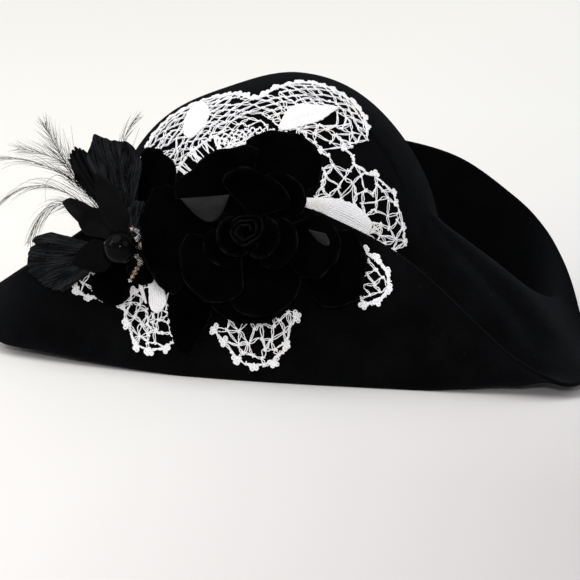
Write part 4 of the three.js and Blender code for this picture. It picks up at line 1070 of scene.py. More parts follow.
class Crochet:
    """Threads, knots and leaves drawn in the flat doily's own millimetres, then laid on the hat."""

    def __init__(self, lobes, place, seed):
        self.lobes = lobes
        self.place = place
        self.rng = np.random.default_rng(seed)
        self.threads = {}
        self.knots = []
        self.knot_sizes = []
        self.leaves = []
        self.leaf_cores = []

    def outline(self, angle):
        return lace_reach(self.lobes, angle) - OUTLINE_BACK

    def at(self, distance, angle):
        turn = np.radians(angle)
        return np.stack([distance * np.cos(turn), distance * np.sin(turn)], -1)

    def thread(self, path, lifts, radius=THREAD):
        path = np.asarray(path, float)
        self.threads.setdefault(len(path), []).append((path, np.broadcast_to(lifts, len(path)), radius))

    def link(self, start, end, strands, bow, radius=THREAD):
        """Bowed strands between two knots."""
        start, end = np.asarray(start, float), np.asarray(end, float)
        along = end - start
        length = np.hypot(*along)
        if length < LINK_SHORTEST:
            return
        across = np.array([-along[1], along[0]]) / length
        share = np.linspace(0, 1, LINK_PLACES)
        places = [0.0] if strands == 1 else np.linspace(-1, 1, strands)
        sag = self.rng.normal(0, LINK_SAG) * length
        for place in places:
            reach = bow * place * self.rng.uniform(0.35, 1.3) + self.rng.normal(0, 0.1)
            peak = self.rng.uniform(0.7, 1.4)
            twist = self.rng.normal(0, LINK_TWIST)
            bend = (reach + sag) * np.sin(np.pi * share ** peak) + twist * np.sin(2 * np.pi * share)
            ends = self.rng.normal(0, LINK_ENDS, (2, 2))
            bend = bend + self.rng.normal(0, LINK_ROUGH, LINK_PLACES)
            path = start + along * share[:, None] + across * bend[:, None]
            path = path + ends[0] * (1 - share)[:, None] + ends[1] * share[:, None]
            lift = THREAD_LIFT * np.sin(np.pi * share) * self.rng.uniform(0, 1)
            lift = lift + self.rng.uniform(-LINK_HEIGHT, LINK_HEIGHT)
            self.thread(path, lift, radius * self.rng.uniform(0.85, 1.15))

    def knot(self, spot, size):
        """A worked knot: one large lump and smaller ones beside it."""
        spot = np.asarray(spot, float)
        self.knots.append(spot)
        self.knot_sizes.append(KNOT * size * self.rng.uniform(0.8, 1.2))
        for _ in range(LUMPS):
            aside = self.rng.normal(0, LUMP_SPREAD * size, 2)
            self.knots.append(spot + aside * min(1.0, LUMP_REACH * size / np.hypot(*aside)))
            self.knot_sizes.append(LUMP * size * self.rng.uniform(0.7, 1.35))

    def in_leaf(self, spot, margin):
        return any(np.any(np.hypot(*(middle - spot).T) < margin * half) for middle, half in self.leaf_cores)

    def under_leaf(self, start, end):
        return self.in_leaf(start, LEAF_CLEAR_THREAD) and self.in_leaf(end, LEAF_CLEAR_THREAD)

    def net(self, spots, drop, bow=0.6, knot=1.0, shake=0.45):
        """Diamonds between the rows of knots: spots[j][i], each odd row set off by half a cell."""
        kept = {}
        for j, row in enumerate(spots):
            for i, spot in enumerate(row):
                if spot is not None:
                    kept[j, i] = spot + self.rng.normal(0, shake, 2)
        for (j, i), spot in kept.items():
            if not self.in_leaf(spot, LEAF_CLEAR_KNOT):
                self.knot(spot, knot)
            for step in ((0, 1) if j % 2 else (-1, 0)):
                other = kept.get((j + 1, i + step))
                if other is not None and not drop(spot, other):
                    self.link(spot, other, 2, bow)
        return list(kept.values())

    def graph(self, knots, threads, edges, picots, size):
        """The knots and threads of a table; its edge is a closer chain, with a picot at some knots."""
        spots = {key: np.array(spot) for key, spot in knots.items()}
        threads, edges = neighbours(threads), neighbours(edges)
        for start, end in threads:
            self.link(spots[start], spots[end], 3 if self.rng.random() < THIRD_STRAND else 2, 0.75)
        for start, end in edges:
            self.link(spots[start], spots[end], 3, 0.6, CHAIN_THREAD)
        for spot in spots.values():
            self.knot(spot, TABLE_KNOT)
        for key in picots.split():
            tied = [spots[end] for pair in threads + edges for end in pair if key in pair and end != key]
            larger = LARGE_PICOTS.get(key, 1.0)
            self.picot(spots[key], spots[key] - np.mean(tied, axis=0), size * larger)

    def picot(self, spot, outward, size):
        """A cluster of three small, thick loops on the edge."""
        self.knot(spot, 1.2 * size)
        heading = math.atan2(outward[1], outward[0])
        for turn in PICOT_TURNS:
            toward = heading + turn + self.rng.normal(0, 0.18)
            reach = PICOT_REACH * size * self.rng.uniform(0.8, 1.15)
            loop = np.linspace(0, 2 * np.pi, PICOT_PLACES)
            wide = PICOT_WIDTH * size * np.sin(loop) * (1 - 0.3 * np.cos(loop))
            far = reach * (1 - np.cos(loop)) / 2
            path = np.stack([
                spot[0] + far * math.cos(toward) - wide * math.sin(toward),
                spot[1] + far * math.sin(toward) + wide * math.cos(toward),
            ], -1)
            self.thread(path, THREAD_LIFT * (1 - np.cos(loop)) / 2, PICOT_THREAD * size)
            heart = spot + reach * 0.55 * np.array([math.cos(toward), math.sin(toward)])
            self.knots.append(heart)
            self.knot_sizes.append(PICOT_HEART * size)

    def border(self, low, high, spacing, size, skip):
        """The edge chain along the outline, with a picot at every step, but none in the ranges of skip."""
        angle = np.linspace(low, high, 1200)
        line = self.at(self.outline(angle), angle)
        run = running(np.hypot(*np.diff(line, axis=0).T))
        steps = max(int(round(run[-1] / spacing)), 1)
        marks = np.linspace(0, run[-1], steps + 1)
        index = np.clip(np.searchsorted(run, marks), 1, len(run) - 2)
        for k, place in enumerate(index):
            if any(first < angle[place] < last for first, last in skip):
                continue
            along = line[place + 1] - line[place - 1]
            outward = np.array([along[1], -along[0]]) / np.hypot(*along)
            spot = line[place] + self.rng.normal(0, 0.35, 2)
            self.picot(spot, outward, size * self.rng.uniform(0.85, 1.12))
            if k:
                before = index[k - 1]
                share = np.linspace(0, 1, EDGE_PLACES)
                path = line[np.round(before + (place - before) * share).astype(int)]
                normal = np.stack([np.gradient(path[:, 1]), -np.gradient(path[:, 0])], -1)
                normal /= np.hypot(*normal.T)[:, None] + 1e-9
                for side in (-0.6, 0.0, 0.6):
                    wave = side * np.sin(np.pi * share) + 0.14 * self.rng.normal(0, 1, EDGE_PLACES)
                    self.thread(path + normal * wave[:, None], 0.15, EDGE_THREAD)
                half = EDGE_PLACES // 2
                self.knot(path[half] + normal[half] * 0.4, 0.8)

    def leaf(self, one_side, other_side):
        """A solid leaf between its two sides, each drawn from the same end to the other."""
        sides = [smooth_path(side, 61)[0] for side in (one_side, other_side)]
        self.leaves.append(sides)
        self.leaf_cores.append(((sides[0] + sides[1]) / 2, np.hypot(*(sides[0] - sides[1]).T) / 2))

    def leaf_mesh(self, shape, one_side, other_side):
        """Close rows that run along the leaf, a little thicker than the net."""
        widest = np.hypot(*(one_side - other_side).T).max()
        length = np.hypot(*np.diff((one_side + other_side) / 2, axis=0).T).sum()
        ribs = max(int(round(widest / LEAF_ROW)), 4)
        share = np.linspace(0, 1, len(one_side))

        def surface(u, v):
            first = np.stack([np.interp(v, share, one_side[:, k]) for k in range(2)], -1)
            second = np.stack([np.interp(v, share, other_side[:, k]) for k in range(2)], -1)
            rough = 0.02 * ripple(v * length / 3, 0 * v + np.sign(u - 0.5) * 4.0, 19, 1.6)
            place = np.clip(u, 0, 1) * (1 + 2 * rough) - rough
            spot = first * (1 - place)[..., None] + second * place[..., None]
            rib = np.abs(np.sin(np.pi * ribs * u))
            stitch = 0.5 + 0.5 * np.sin(2 * np.pi * (length * v / LEAF_STITCH + 0.5 * np.floor(ribs * u)))
            lift = LEAF_BASE + LEAF_CROWN * (1 - (2 * u - 1) ** 2)
            lift = lift + LEAF_RIB * rib + LEAF_STITCH_HEIGHT * stitch * rib
            return self.place(spot[..., 0], spot[..., 1], lift)

        sheet_mesh(shape, surface, ribs * 6, int(length * 1.2), LEAF_LACE_WALL, rim=0.8, open_root=False)

    def build(self, node_name):
        shape = Shape()
        for entries in self.threads.values():
            paths = np.stack([entry[0] for entry in entries])
            lifts = np.stack([entry[1] for entry in entries])
            radii = np.array([entry[2] for entry in entries])[:, None]
            laid = self.place(paths[..., 0], paths[..., 1], lifts)
            above = self.place(paths[..., 0], paths[..., 1], lifts + 1.0)
            tubes(shape, laid, unit(above - laid), radii)
        spots = np.array(self.knots)
        laid = self.place(spots[:, 0], spots[:, 1], np.zeros(len(spots)))
        above = self.place(spots[:, 0], spots[:, 1], np.ones(len(spots)))
        blobs(shape, laid, unit(above - laid), np.array(self.knot_sizes), KNOT_FLAT, len(spots))
        for leaf in self.leaves:
            self.leaf_mesh(shape, *leaf)
        shape.piece(node_name, "lace")


# A lattice's rows, and its columns to each side of the axis. Its knots pass the outline by at most one share
# of a cell, and those that come nearer to it than another share are moved onto it.
LATTICE_ROWS = 40
LATTICE_COLUMNS = 9
LATTICE_PAST = 0.25
LATTICE_NEAR = 0.3


def local_lattice(work, axis, low, high, inner, outer, cell, row, origin):
    """Rows of knots set square to a lobe's axis, kept inside the doily's outline."""
    direction = work.at(1.0, axis)
    across = np.array([-direction[1], direction[0]])
    spots = []
    for j in range(LATTICE_ROWS):
        line = []
        for i in range(-LATTICE_COLUMNS, LATTICE_COLUMNS + 1):
            spot = direction * (origin + row * j) + across * cell * (i + 0.5 * (j % 2))
            distance = np.hypot(*spot)
            angle = math.degrees(math.atan2(spot[1], spot[0]))
            edge = work.outline(angle)
            if not low <= angle <= high or not inner <= distance <= min(edge + LATTICE_PAST * cell, outer):
                line.append(None)
            elif distance > edge - LATTICE_NEAR * cell:
                line.append(work.at(edge, angle))
            else:
                line.append(spot)
        spots.append(line)
    return spots


def arc_columns(low, high):
    """Directions from low to high, a pitch apart, and further apart near a valley between two lobes."""
    fine = np.linspace(low, high, 2000)
    near = np.exp(-(((fine - ARC_VALLEY) / ARC_VALLEY_SPREAD) ** 2))
    density = 1 / (ARC_PITCH + (ARC_VALLEY_PITCH - ARC_PITCH) * near)
    run = running((density[1:] + density[:-1]) / 2 * np.diff(fine))
    count = int(round(run[-1]))
    return lambda index: np.interp(index / count * run[-1], run, fine), count


def never(start, end):
    return False


# The longest thread that ties a single knot to a lattice.
TIE_REACH = 12


def nearest_links(work, table, names, others):
    """Ties each of a table's named knots to the two nearest of the others."""
    for name in names.split():
        spot = np.array(table[name])
        ranked = sorted(others, key=lambda other: np.hypot(*(other - spot)))
        for other in ranked[:2]:
            if np.hypot(*(other - spot)) < TIE_REACH:
                work.link(spot, other, 2, 0.55)


def lay_lattices(work, knots, lattices):
    """Nets over the lobes, each tied to the single knots that it names."""
    for *lattice, tied in lattices:
        nearest_links(work, knots, tied, work.net(local_lattice(work, *lattice), work.under_leaf))


# The crown's net ends at this direction, behind the smaller flower. Its two upper lobes share arcs of flat
# cells, longest in the valley between them.
CROWN_END = 158.0
ARC_START = 39.0
ARC_FIRST = 57.6
ARC_ROW = 2.85
ARC_PITCH = 6.9
ARC_VALLEY_PITCH = 11.0
ARC_VALLEY, ARC_VALLEY_SPREAD = 98, 10
ARC_ROWS = 20
ARC_PAST = 1.0
ARC_DROPPED = 0.05
# The arcs start past this direction or distance, because the single knots fill the rest.
ARC_CLEAR_ANGLE, ARC_CLEAR = 64, 84
# Inside them are small diamonds, then loops in bunches, from their inner to their outer knots.
DIAMOND_START, DIAMOND_FIRST, DIAMOND_ROW, DIAMOND_PITCH = 62, 42.8, 2.2, 4.3
DIAMOND_ROWS, DIAMOND_COLUMNS = 7, 14
DIAMOND_DROPPED = 0.12
BUNCH_START = 119.0
BUNCH_STEP = (4.4, 7.6)
BUNCH_INNER = (44.5, 48.5)
BUNCH_OUTER = (56.5, 59)
BUNCH_LEAN = 1.3
BUNCH_KNOT = 1.45
BUNCH_SPREADS = (-1.1, -0.4, 0.4, 1.1)
# Chains round the doily near the rose: distance and first direction, with the pitch of their links.
CHAINS = ((33, 118), (39.5, 112), (46.5, 62), (58, 112))
CHAIN_PITCH = 5.4
CHAIN_START, CHAIN_END = 110, 156
CHAIN_SPREAD = 8


def crown_arcs(work):
    column, count = arc_columns(ARC_START, CROWN_END)
    spots = []
    for j in range(ARC_ROWS):
        line = []
        for i in range(count + 1):
            angle = float(column(i + 0.5 * (j % 2)))
            distance = ARC_FIRST + ARC_ROW * j
            edge = work.outline(angle)
            mine = angle > ARC_CLEAR_ANGLE or distance > ARC_CLEAR
            if i + 0.5 * (j % 2) > count or not mine or distance > edge + ARC_PAST:
                line.append(None)
            else:
                line.append(work.at(min(distance, edge), angle))
        spots.append(line)

    def patchy(start, end):
        return work.under_leaf(start, end) or work.rng.random() < ARC_DROPPED

    return work.net(spots, patchy, bow=0.8, knot=0.85, shake=0.85)


def crown_diamonds(work):
    spots = [
        [
            work.at(DIAMOND_FIRST + DIAMOND_ROW * j, DIAMOND_START + DIAMOND_PITCH * (i + 0.5 * (j % 2)))
            for i in range(DIAMOND_COLUMNS)
        ]
        for j in range(DIAMOND_ROWS)
    ]
    work.net(spots[4:], never, bow=0.2, knot=0.7, shake=0.25)

    def patchy(start, end):
        return work.rng.random() < DIAMOND_DROPPED

    work.net(spots[:5], patchy, bow=0.7, knot=0.75, shake=0.7)


def crown_bunches(work):
    angle = BUNCH_START
    while angle < CROWN_END:
        inner, outer = work.rng.uniform(*BUNCH_INNER), work.rng.uniform(*BUNCH_OUTER)
        lean = work.rng.normal(0, BUNCH_LEAN)
        for spread in BUNCH_SPREADS:
            start, end = work.at(inner, angle + spread * 0.4), work.at(outer, angle + lean + spread * 1.2)
            work.link(start, end, 1, 0.8, CHAIN_THREAD)
        work.knot(work.at(inner, angle), BUNCH_KNOT)
        work.knot(work.at(outer, angle + lean), BUNCH_KNOT)
        angle += work.rng.uniform(*BUNCH_STEP)


def crown_chains(work):
    for distance, first in CHAINS:
        for angle in np.arange(first, CHAIN_END, CHAIN_PITCH):
            work.link(work.at(distance, angle), work.at(distance, angle + CHAIN_PITCH), 3, 0.5, EDGE_THREAD)
    inner, middle, outer = (distance for distance, _ in CHAINS[:3])
    for angle in np.arange(CHAIN_START, CHAIN_END, 2 * CHAIN_PITCH):
        for start in (angle, angle + CHAIN_SPREAD):
            work.link(work.at(inner, start), work.at(outer, angle + CHAIN_PITCH), 3, 0.7)
        work.knot(work.at(middle, angle + CHAIN_SPREAD / 2), 1.2)


# Solid leaves of the doily: the two sides of each, from the same end to the other.
CROWN_LEAVES = [
    (
        (
            (21.1, 12.8), (26.6, 14.8), (36.2, 15.6), (44.9, 16.4), (55.2, 14.8), (62.1, 11.2), (66.6, 6.2),
            (67.4, 3.2),
        ),
        (
            (21.1, 12.3), (22.7, 11.3), (28.9, 9.6), (37.4, 7.6), (47.9, 3.0), (58.2, -1.0), (63.9, -1.6),
            (67, 1.4),
        ),
    ),
    (
        (
            (8.9, 56), (10.0, 62), (11.2, 68.5), (14.4, 73.4), (18.4, 75.6), (24.6, 76.8), (31.1, 77.4),
            (37.7, 78.4), (43.2, 79.6),
        ),
        (
            (9.4, 55), (12.5, 55), (15.8, 55.5), (21.4, 58.3), (27, 61.5), (32.8, 64.9), (36, 68.5),
            (38.5, 72.2), (43.4, 79.0),
        ),
    ),
    (
        (
            (-50.0, 85.6), (-55.3, 81.0), (-54.8, 70.6), (-53.4, 62.8), (-50.7, 55.7), (-46.4, 51.2),
            (-44.3, 50.2),
        ),
        (
            (-48.0, 85.2), (-40.4, 76.2), (-37.1, 67.5), (-36.8, 60.6), (-38.8, 56.1), (-41.7, 52.0),
            (-43.9, 50.1),
        ),
    ),
]
FLAP_LEAVES = [
    (
        ((-40.6, -22.4), (-41.2, -27), (-38.8, -33.0), (-38.0, -40.4), (-36.6, -44.9), (-33.2, -47.3)),
        (
            (-40.1, -22.5), (-36.8, -26), (-32.6, -30.3), (-27.6, -36.7), (-27.2, -41.3), (-29.8, -45.8),
            (-32.6, -47.5),
        ),
    ),
    (
        ((-43.4, -27.4), (-44.6, -33), (-42.4, -38), (-39.6, -42.6)),
        ((-43.2, -27.4), (-42.4, -33), (-40.6, -38), (-39.3, -42.5)),
    ),
]
# Lattices: axis, first and last direction, inner and outer distance, cell, row, where the rows begin, and
# the single knots to tie. The crown's lies under the near flap's edge.
CROWN_LATTICES = [(14, -16, 12, 20, 72, 9.2, 5.3, 20, "a29 a42 a40")]
FLAP_LATTICES = [
    (-157, -169, -143, 64, 200, 9.5, 4.8, 58, ""),
    (-122, -142.5, -100, 30, 46, 8.0, 5.0, 28, "e35 e18 e37 e1"),
    (-66, -93, -47, 30, 45, 9.2, 5.2, 28, "f36 f37 f38 f2"),
    (-12, -24, 2, 56, 200, 8.0, 5.0, 50, ""),
]
CROWN_ARC_TIES = "b10 b11 b12 b18 b19 b20"
# Borders: first and last direction, the picots' spacing and size, and the ranges that have none.
CROWN_BORDERS = [(-14, CROWN_END, 8.2, 1.1, [(-8, 44)])]
FLAP_BORDERS = [(-169, -143, 9.2, 1.15, []), (-20, 2, 9.2, 1.15, [])]
# The size of the single picots.
CROWN_SIZE = 0.85
FLAP_SIZE = 1.15


def make_crown_lace():
    work = Crochet(CROWN_LOBES, crown_place, 11)
    for sides in CROWN_LEAVES:
        work.leaf(*sides)
    work.graph(CROWN_KNOTS, CROWN_THREADS, CROWN_EDGES, CROWN_PICOTS, CROWN_SIZE)
    lay_lattices(work, CROWN_KNOTS, CROWN_LATTICES)
    nearest_links(work, CROWN_KNOTS, CROWN_ARC_TIES, crown_arcs(work))
    crown_diamonds(work)
    crown_bunches(work)
    crown_chains(work)
    for border in CROWN_BORDERS:
        work.border(*border)
    work.build("lace_crown")


def make_flap_lace():
    work = Crochet(FLAP_LOBES, flap_place, 12)
    for sides in FLAP_LEAVES:
        work.leaf(*sides)
    work.graph(FLAP_KNOTS, FLAP_THREADS, FLAP_EDGES, FLAP_PICOTS, FLAP_SIZE)
    lay_lattices(work, FLAP_KNOTS, FLAP_LATTICES)
    for border in FLAP_BORDERS:
        work.border(*border)
    work.build("lace_flap")


make_crown_lace()
make_flap_lace()


ROSE = bloom_frame(ROSE_MIDDLE, ROSE_OUT)
FLOWER = bloom_frame(FLOWER_MIDDLE, FLOWER_OUT)


# Uneven outlines of petals: how far each reaches, in mm, from its one side (-1) to the other (1).
OUTLINES = {
    "rose_petal_back_right": (
        (-1, 58), (-0.67, 66.4), (-0.43, 72), (-0.25, 72.2), (0.2, 67), (0.59, 64.1), (1, 59),
    ),
    "rose_petal_back_top": ((-1, 47), (-0.62, 57.2), (-0.3, 62.3), (0.24, 60.8), (0.83, 56.1), (1, 53)),
    "rose_petal_mid_upper_left": ((-1, 48), (-0.73, 50), (-0.17, 47.7), (0.4, 49), (0.825, 51), (1, 47)),
    "rose_petal_back_left": ((-1, 56), (-0.83, 62.8), (-0.24, 64.5), (0.3, 63.5), (0.735, 61.9), (1, 58)),
    "rose_petal_mid_lower_left": (
        (-1, 36), (-0.67, 41.5), (-0.22, 45.5), (0.08, 47), (0.35, 47), (0.65, 44), (0.85, 39), (1, 33),
    ),
    "rose_petal_mid_low": (
        (-1, 36), (-0.54, 46), (-0.26, 49.5), (0.06, 49.8), (0.39, 47), (0.67, 42), (1, 35),
    ),
    "rose_petal_mid_right": ((-1, 40), (-0.74, 48), (-0.18, 53.5), (0.15, 54), (0.77, 46.8), (1, 40)),
    "rose_petal_inner_top": (
        (-1, 28), (-0.8, 31), (-0.56, 32.3), (0, 34.5), (0.52, 37.1), (0.85, 35), (1, 31),
    ),
    "rose_petal_inner_left": ((-1, 19), (-0.6, 25.5), (0, 28), (0.6, 25.5), (1, 19)),
    "rose_petal_inner_right": ((-1, 21), (-0.6, 28), (0, 31), (0.6, 28), (1, 21)),
    "rose_petal_core_left": ((-1, 13), (-0.6, 16.5), (0, 18.5), (0.5, 17), (1, 13)),
    "rose_petal_core_right": ((-1, 14), (-0.6, 18), (0, 20.5), (0.6, 18), (1, 14)),
    "rose_petal_mid_upper_right": ((-1, 32), (-0.6, 38), (0, 40.5), (0.6, 38.5), (1, 33)),
    "flower_petal_top": ((-1, 50), (-0.68, 56), (-0.17, 61), (0.46, 68.4), (0.76, 71), (1, 67)),
    "flower_petal_fan": ((-1, 50), (-0.8, 59), (-0.155, 65), (0.1, 63.5), (0.86, 52), (1, 48)),
    "flower_petal_back_dark": ((-1, 42), (-0.45, 50.8), (-0.013, 57), (0.27, 60.5), (1, 58)),
    "flower_petal_satin_left": ((-1, 40), (-0.3, 46), (0.23, 48.9), (0.64, 41), (1, 33)),
    "flower_petal_low_right": ((-1, 21), (0, 24), (1, 22)),
}
# The most by which such an outline keeps inside or passes the petal's plain form.
OUTLINE_IN = 5.0
OUTLINE_OUT = 4.0
# Relief of petals: the wrinkles' pitch and height, the crumples on them, soft waves, and velvet's rolled
# rim.
RIDGE_PITCH = 1.15
RIDGE_HEIGHT = 1.0
RIDGE_WARP, RIDGE_FINE_WARP = 0.10, 0.035
SECOND_RIDGES = 0.83
RIDGE_MIX = (0.62, 0.28, 0.18)
CRUMPLE = 1.3
FINE_CRUMPLE = 0.35
VELVET_WAVE = 0.75
VELVET_ROLL = 0.9
SATIN_WAVE = 0.5
# Shares of its reach by which a petal sways and its tip is uneven, and frays where it is crinkled.
SWAY = 0.012
TIP_UNEVEN = 0.012
FRAYED = 0.014
FRAYED_TOP = 0.004


def petal_height(row, root, distance):
    """How far out a petal's plain form lies at a distance, and the share of its reach there."""
    reach, layer, cup, curl = row[4:8]
    share = np.maximum((distance - root) / (reach - root), 0)
    return layer + cup * share ** CUP_POWER - curl * share ** CURL_POWER, share


def petal_parts(place, root, row, seed, outline):
    """The middle surface of a petal, and the height of its fine wrinkles."""
    name, finish, angle, half, reach = row[:5]
    waves, point = row[8:]
    phase = np.random.default_rng(seed).uniform(0, 6.28, 2)
    arc = math.radians(half) * reach
    ridges = arc / RIDGE_PITCH

    def wrinkles(u, v):
        side = 2 * u - 1
        warp = RIDGE_WARP * ripple(side * 3.0, v * 1.6, seed, 2.2)
        warp = warp + RIDGE_FINE_WARP * ripple(side * 9, v * 5, seed + 1, 3.0)
        first = np.abs(np.sin(np.pi * ridges / 2 * (side + warp) + phase[0])) ** 0.8
        second = np.abs(np.sin(np.pi * ridges * SECOND_RIDGES * (side - warp) + phase[1]))
        crush = 0.5 + 0.5 * ripple(side * 5, v * 6, seed + 2, 2.4)
        return np.clip(RIDGE_MIX[0] * first + RIDGE_MIX[1] * second + RIDGE_MIX[2] * crush, 0, 1)

    def surface(u, v):
        side = 2 * u - 1
        opening = np.sin(np.pi / 2 * np.clip(v, 0, 1))
        sway = ripple(side * 1.5, v * 1.2, seed + 5, 2.6) * SWAY * opening
        direction = np.radians(angle + side * half * (PETAL_ROOT + (1 - PETAL_ROOT) * opening)) + sway
        drop = point * np.abs(side) if point else TIP_DROP * np.abs(side) ** TIP_POWER
        uneven = TIP_UNEVEN * ripple(side * 2.2, 0 * side, seed + 7, 1.6)
        if finish == "crinkled":
            frayed = FRAYED_TOP if name == "top" else FRAYED
            uneven = uneven + frayed * ripple(side * 9, 0 * side, seed + 8, 1.8)
        tip = reach * (1 - drop)
        if outline:
            wanted = np.interp(side, [each[0] for each in outline], [each[1] for each in outline])
            tip = np.clip(wanted, tip - OUTLINE_IN, tip + OUTLINE_OUT)
        tip = tip + reach * uneven * v
        distance = root + (tip - root) * v
        out, share = petal_height(row, root, distance)
        if waves:
            out = out + WRINKLE * share * np.sin(np.pi * waves * side)
        if finish == "crinkled":
            out = out + RIDGE_HEIGHT * (wrinkles(u, v) - 0.5) * smoothstep(0.0, 0.25, share)
            out = out + CRUMPLE * share * ripple(side * 2.4 + share, share * 2.2 - side, seed + 9, 1.3)
            out = out + FINE_CRUMPLE * share * ripple(side * 7, share * 8, seed + 10, 1.6)
        elif finish == "velvet":
            out = out + VELVET_WAVE * share * ripple(side * half / 18, share * 2, seed + 3, 1.7)
            out = out - VELVET_ROLL * smoothstep(0.86, 1.0, np.maximum(v, np.abs(side) * v))
        else:
            out = out + SATIN_WAVE * share * ripple(side * 1.1, share * 1.6, seed + 4, 1.9)
        return place(distance * np.cos(direction), distance * np.sin(direction), out)

    return surface, wrinkles


# How thick thin petals are beside velvet ones, the pitch of a crinkled petal's mesh, and how wide the band of
# painted highlight along the rim is on the inner petals.
CRINKLED_SHARE = 0.7
SATIN_SHARE = 0.6
BUD_SHARE = 0.9
COLUMN_PITCH = 0.33
SHEEN_BAND_INNER = 0.95


def make_petals(prefix, place, root, rows, seed):
    for k, row in enumerate(rows):
        shape = Shape()
        node_name = prefix + row[0]
        surface, wrinkles = petal_parts(place, root, row, seed + 17 * k, OUTLINES.get(node_name))
        if row[1] == "crinkled":
            columns = max(int(math.radians(row[3]) * 2 * row[4] / COLUMN_PITCH), 60)
            sheet_mesh(shape, surface, columns, 60, PETAL_WALL * CRINKLED_SHARE, rim=0.9, mark=wrinkles)
        elif row[1] == "satin":
            sheet_mesh(shape, surface, 44, 36, PETAL_WALL * SATIN_SHARE, rim=0.7)
        else:
            # The core petals take a wider band of painted highlight along their rims.
            painted_sheen = SHEEN_BAND_INNER if row[0].startswith("core") else SHEEN_BAND
            sheet_mesh(shape, surface, 60, 44, PETAL_WALL, rim=1.5, painted_sheen=painted_sheen)
        finish = FLOWER_FINISH.get(row[0], row[1]) if prefix == "flower_petal_" else row[1]
        shape.piece(node_name, row[1], finish)


def turned(shape, place, profile, sides=48):
    """A round piece about a flower's axis from [radius, out] points that start and end on the axis."""
    profile = np.array(profile, float)
    turn = 2 * np.pi * np.arange(sides)[:, None] / sides
    inner = profile[1:-1]
    points = place(inner[None, :, 0] * np.cos(turn), inner[None, :, 0] * np.sin(turn), inner[None, :, 1])
    ends = place(np.zeros(2), np.zeros(2), profile[[0, -1], 1])
    faces = closed_faces(sides, len(inner), flip=True)
    shape.add(np.concatenate([points.reshape(-1, 3), ends]), faces, edge=0.0)


def make_hub(node_name, place, radius, back, front):
    shape = Shape()
    rim = radius - HUB_CHAMFER
    turns = np.linspace(0, 1.57, 6)
    bow = [(rim + HUB_CHAMFER * math.sin(a), back + HUB_CHAMFER * (1 - math.cos(a))) for a in turns]
    top = [(rim + HUB_CHAMFER * math.cos(a), front - HUB_CHAMFER * (1 - math.sin(a))) for a in turns]
    waist = [
        (radius - HUB_WAIST * math.sin(math.pi * t), back + (front - back) * t)
        for t in np.linspace(0.15, 0.85, 9)
    ]
    turned(shape, place, [(0, back), *bow, *waist, *top, (0, front)])
    shape.piece(node_name, "velvet")


# How the bud's roll departs from a round one: flattened, three-sided, fluted, and waved along its edge.
BUD_FLAT = 0.13
BUD_SIDED = 0.05
BUD_FLUTE = 0.35
BUD_WAVES = (0.9, 0.5)


def make_bud():
    def surface(u, v):
        direction = 2 * np.pi * BUD_TURNS * u
        radius = BUD_INNER + (BUD_OUTER - BUD_INNER) * u + BUD_FLARE * v * v
        radius = radius * (1 + BUD_FLAT * np.cos(2 * direction - 1.1) + BUD_SIDED * np.sin(3 * direction))
        radius = radius + BUD_FLUTE * np.sin(5.1 * direction + 3 * v) * v
        wave = BUD_WAVES[0] * np.sin(5.3 * direction / 3 + 1) * v + BUD_WAVES[1] * np.sin(4.1 * direction) * v
        out = ROSE_HUB_FRONT + GAP + v * (BUD_HEIGHT - BUD_STEP * u + wave)
        return ROSE(radius * np.cos(direction), radius * np.sin(direction), out)

    shape = Shape()
    # The bud's rims take the wider band of painted highlight.
    sheet_mesh(shape, surface, 260, 18, PETAL_WALL * BUD_SHARE, rim=1.2, painted_sheen=SHEEN_BAND_INNER)
    shape.piece("rose_bud", "velvet")


# How far past its corners a fold's curved lower edge is drawn, and how high its middle stands.
FOLD_PULL = 1.32
FOLD_SWELL = 0.5


def make_folds():
    for name, under, corners in ROSE_FOLDS:
        row = next(each for each in ROSE_PETALS if each[0] == under)
        c = [np.array(corner, float) for corner in corners]
        low_left = c[0] + FOLD_PULL * (c[3] - c[0])
        low_right = c[1] + FOLD_PULL * (c[2] - c[1])

        def surface(u, v):
            u, v = u[..., None], v[..., None]
            top = c[0] * (1 - u) + c[1] * u
            low = (
                c[0] * (1 - u) ** 3 + low_left * 3 * u * (1 - u) ** 2 + low_right * 3 * u ** 2 * (1 - u)
                + c[1] * u ** 3
            )
            spot = top * (1 - v) + low * v
            height, _ = petal_height(row, ROSE_ROOT, np.hypot(spot[..., 0], spot[..., 1]))
            out = height + PETAL_WALL + FOLD_GAP
            middle = np.sin(np.pi * np.clip(v[..., 0], 0, 1)) * np.sin(np.pi * np.clip(u[..., 0], 0, 1))
            return ROSE(spot[..., 0], spot[..., 1], out + FOLD_SWELL * middle)

        shape = Shape()
        sheet_mesh(shape, surface, 36, 24, PETAL_WALL * SATIN_SHARE, rim=0.7, open_root=False)
        shape.piece(name, "satin")


def make_leaf():
    def surface(u, v):
        side = 2 * u - 1
        swell = np.sin(np.pi * (LEAF_START + LEAF_SHARE * np.clip(v, 0, 1))) ** LEAF_POWER
        edge = 0 * v + np.sign(side)
        torn = 1 + LEAF_TORN * ripple(v * 9, edge, 31, 1.1) + LEAF_FRAYED * ripple(v * 30, edge, 33, 1.3)
        half = LEAF_HALF_WIDTH * swell * torn
        x = LEAF_X + LEAF_LEAN * (v - 0.5) + side * half
        z = LEAF_TOP_Z + (LEAF_TIP_Z - LEAF_TOP_Z) * v
        vein = LEAF_VEIN * np.exp(-(side / 0.05) ** 2)
        soft = LEAF_SOFT * ripple(u * 2, v * 3, 35, 1.5)
        return on_flap(x, z, LEAF_LIFT + LEAF_CUP * (1 - side * side) - vein + soft)

    shape = Shape()
    sheet_mesh(shape, surface, 40, 70, PETAL_WALL, rim=1.2)
    shape.piece("rose_leaf", "velvet")


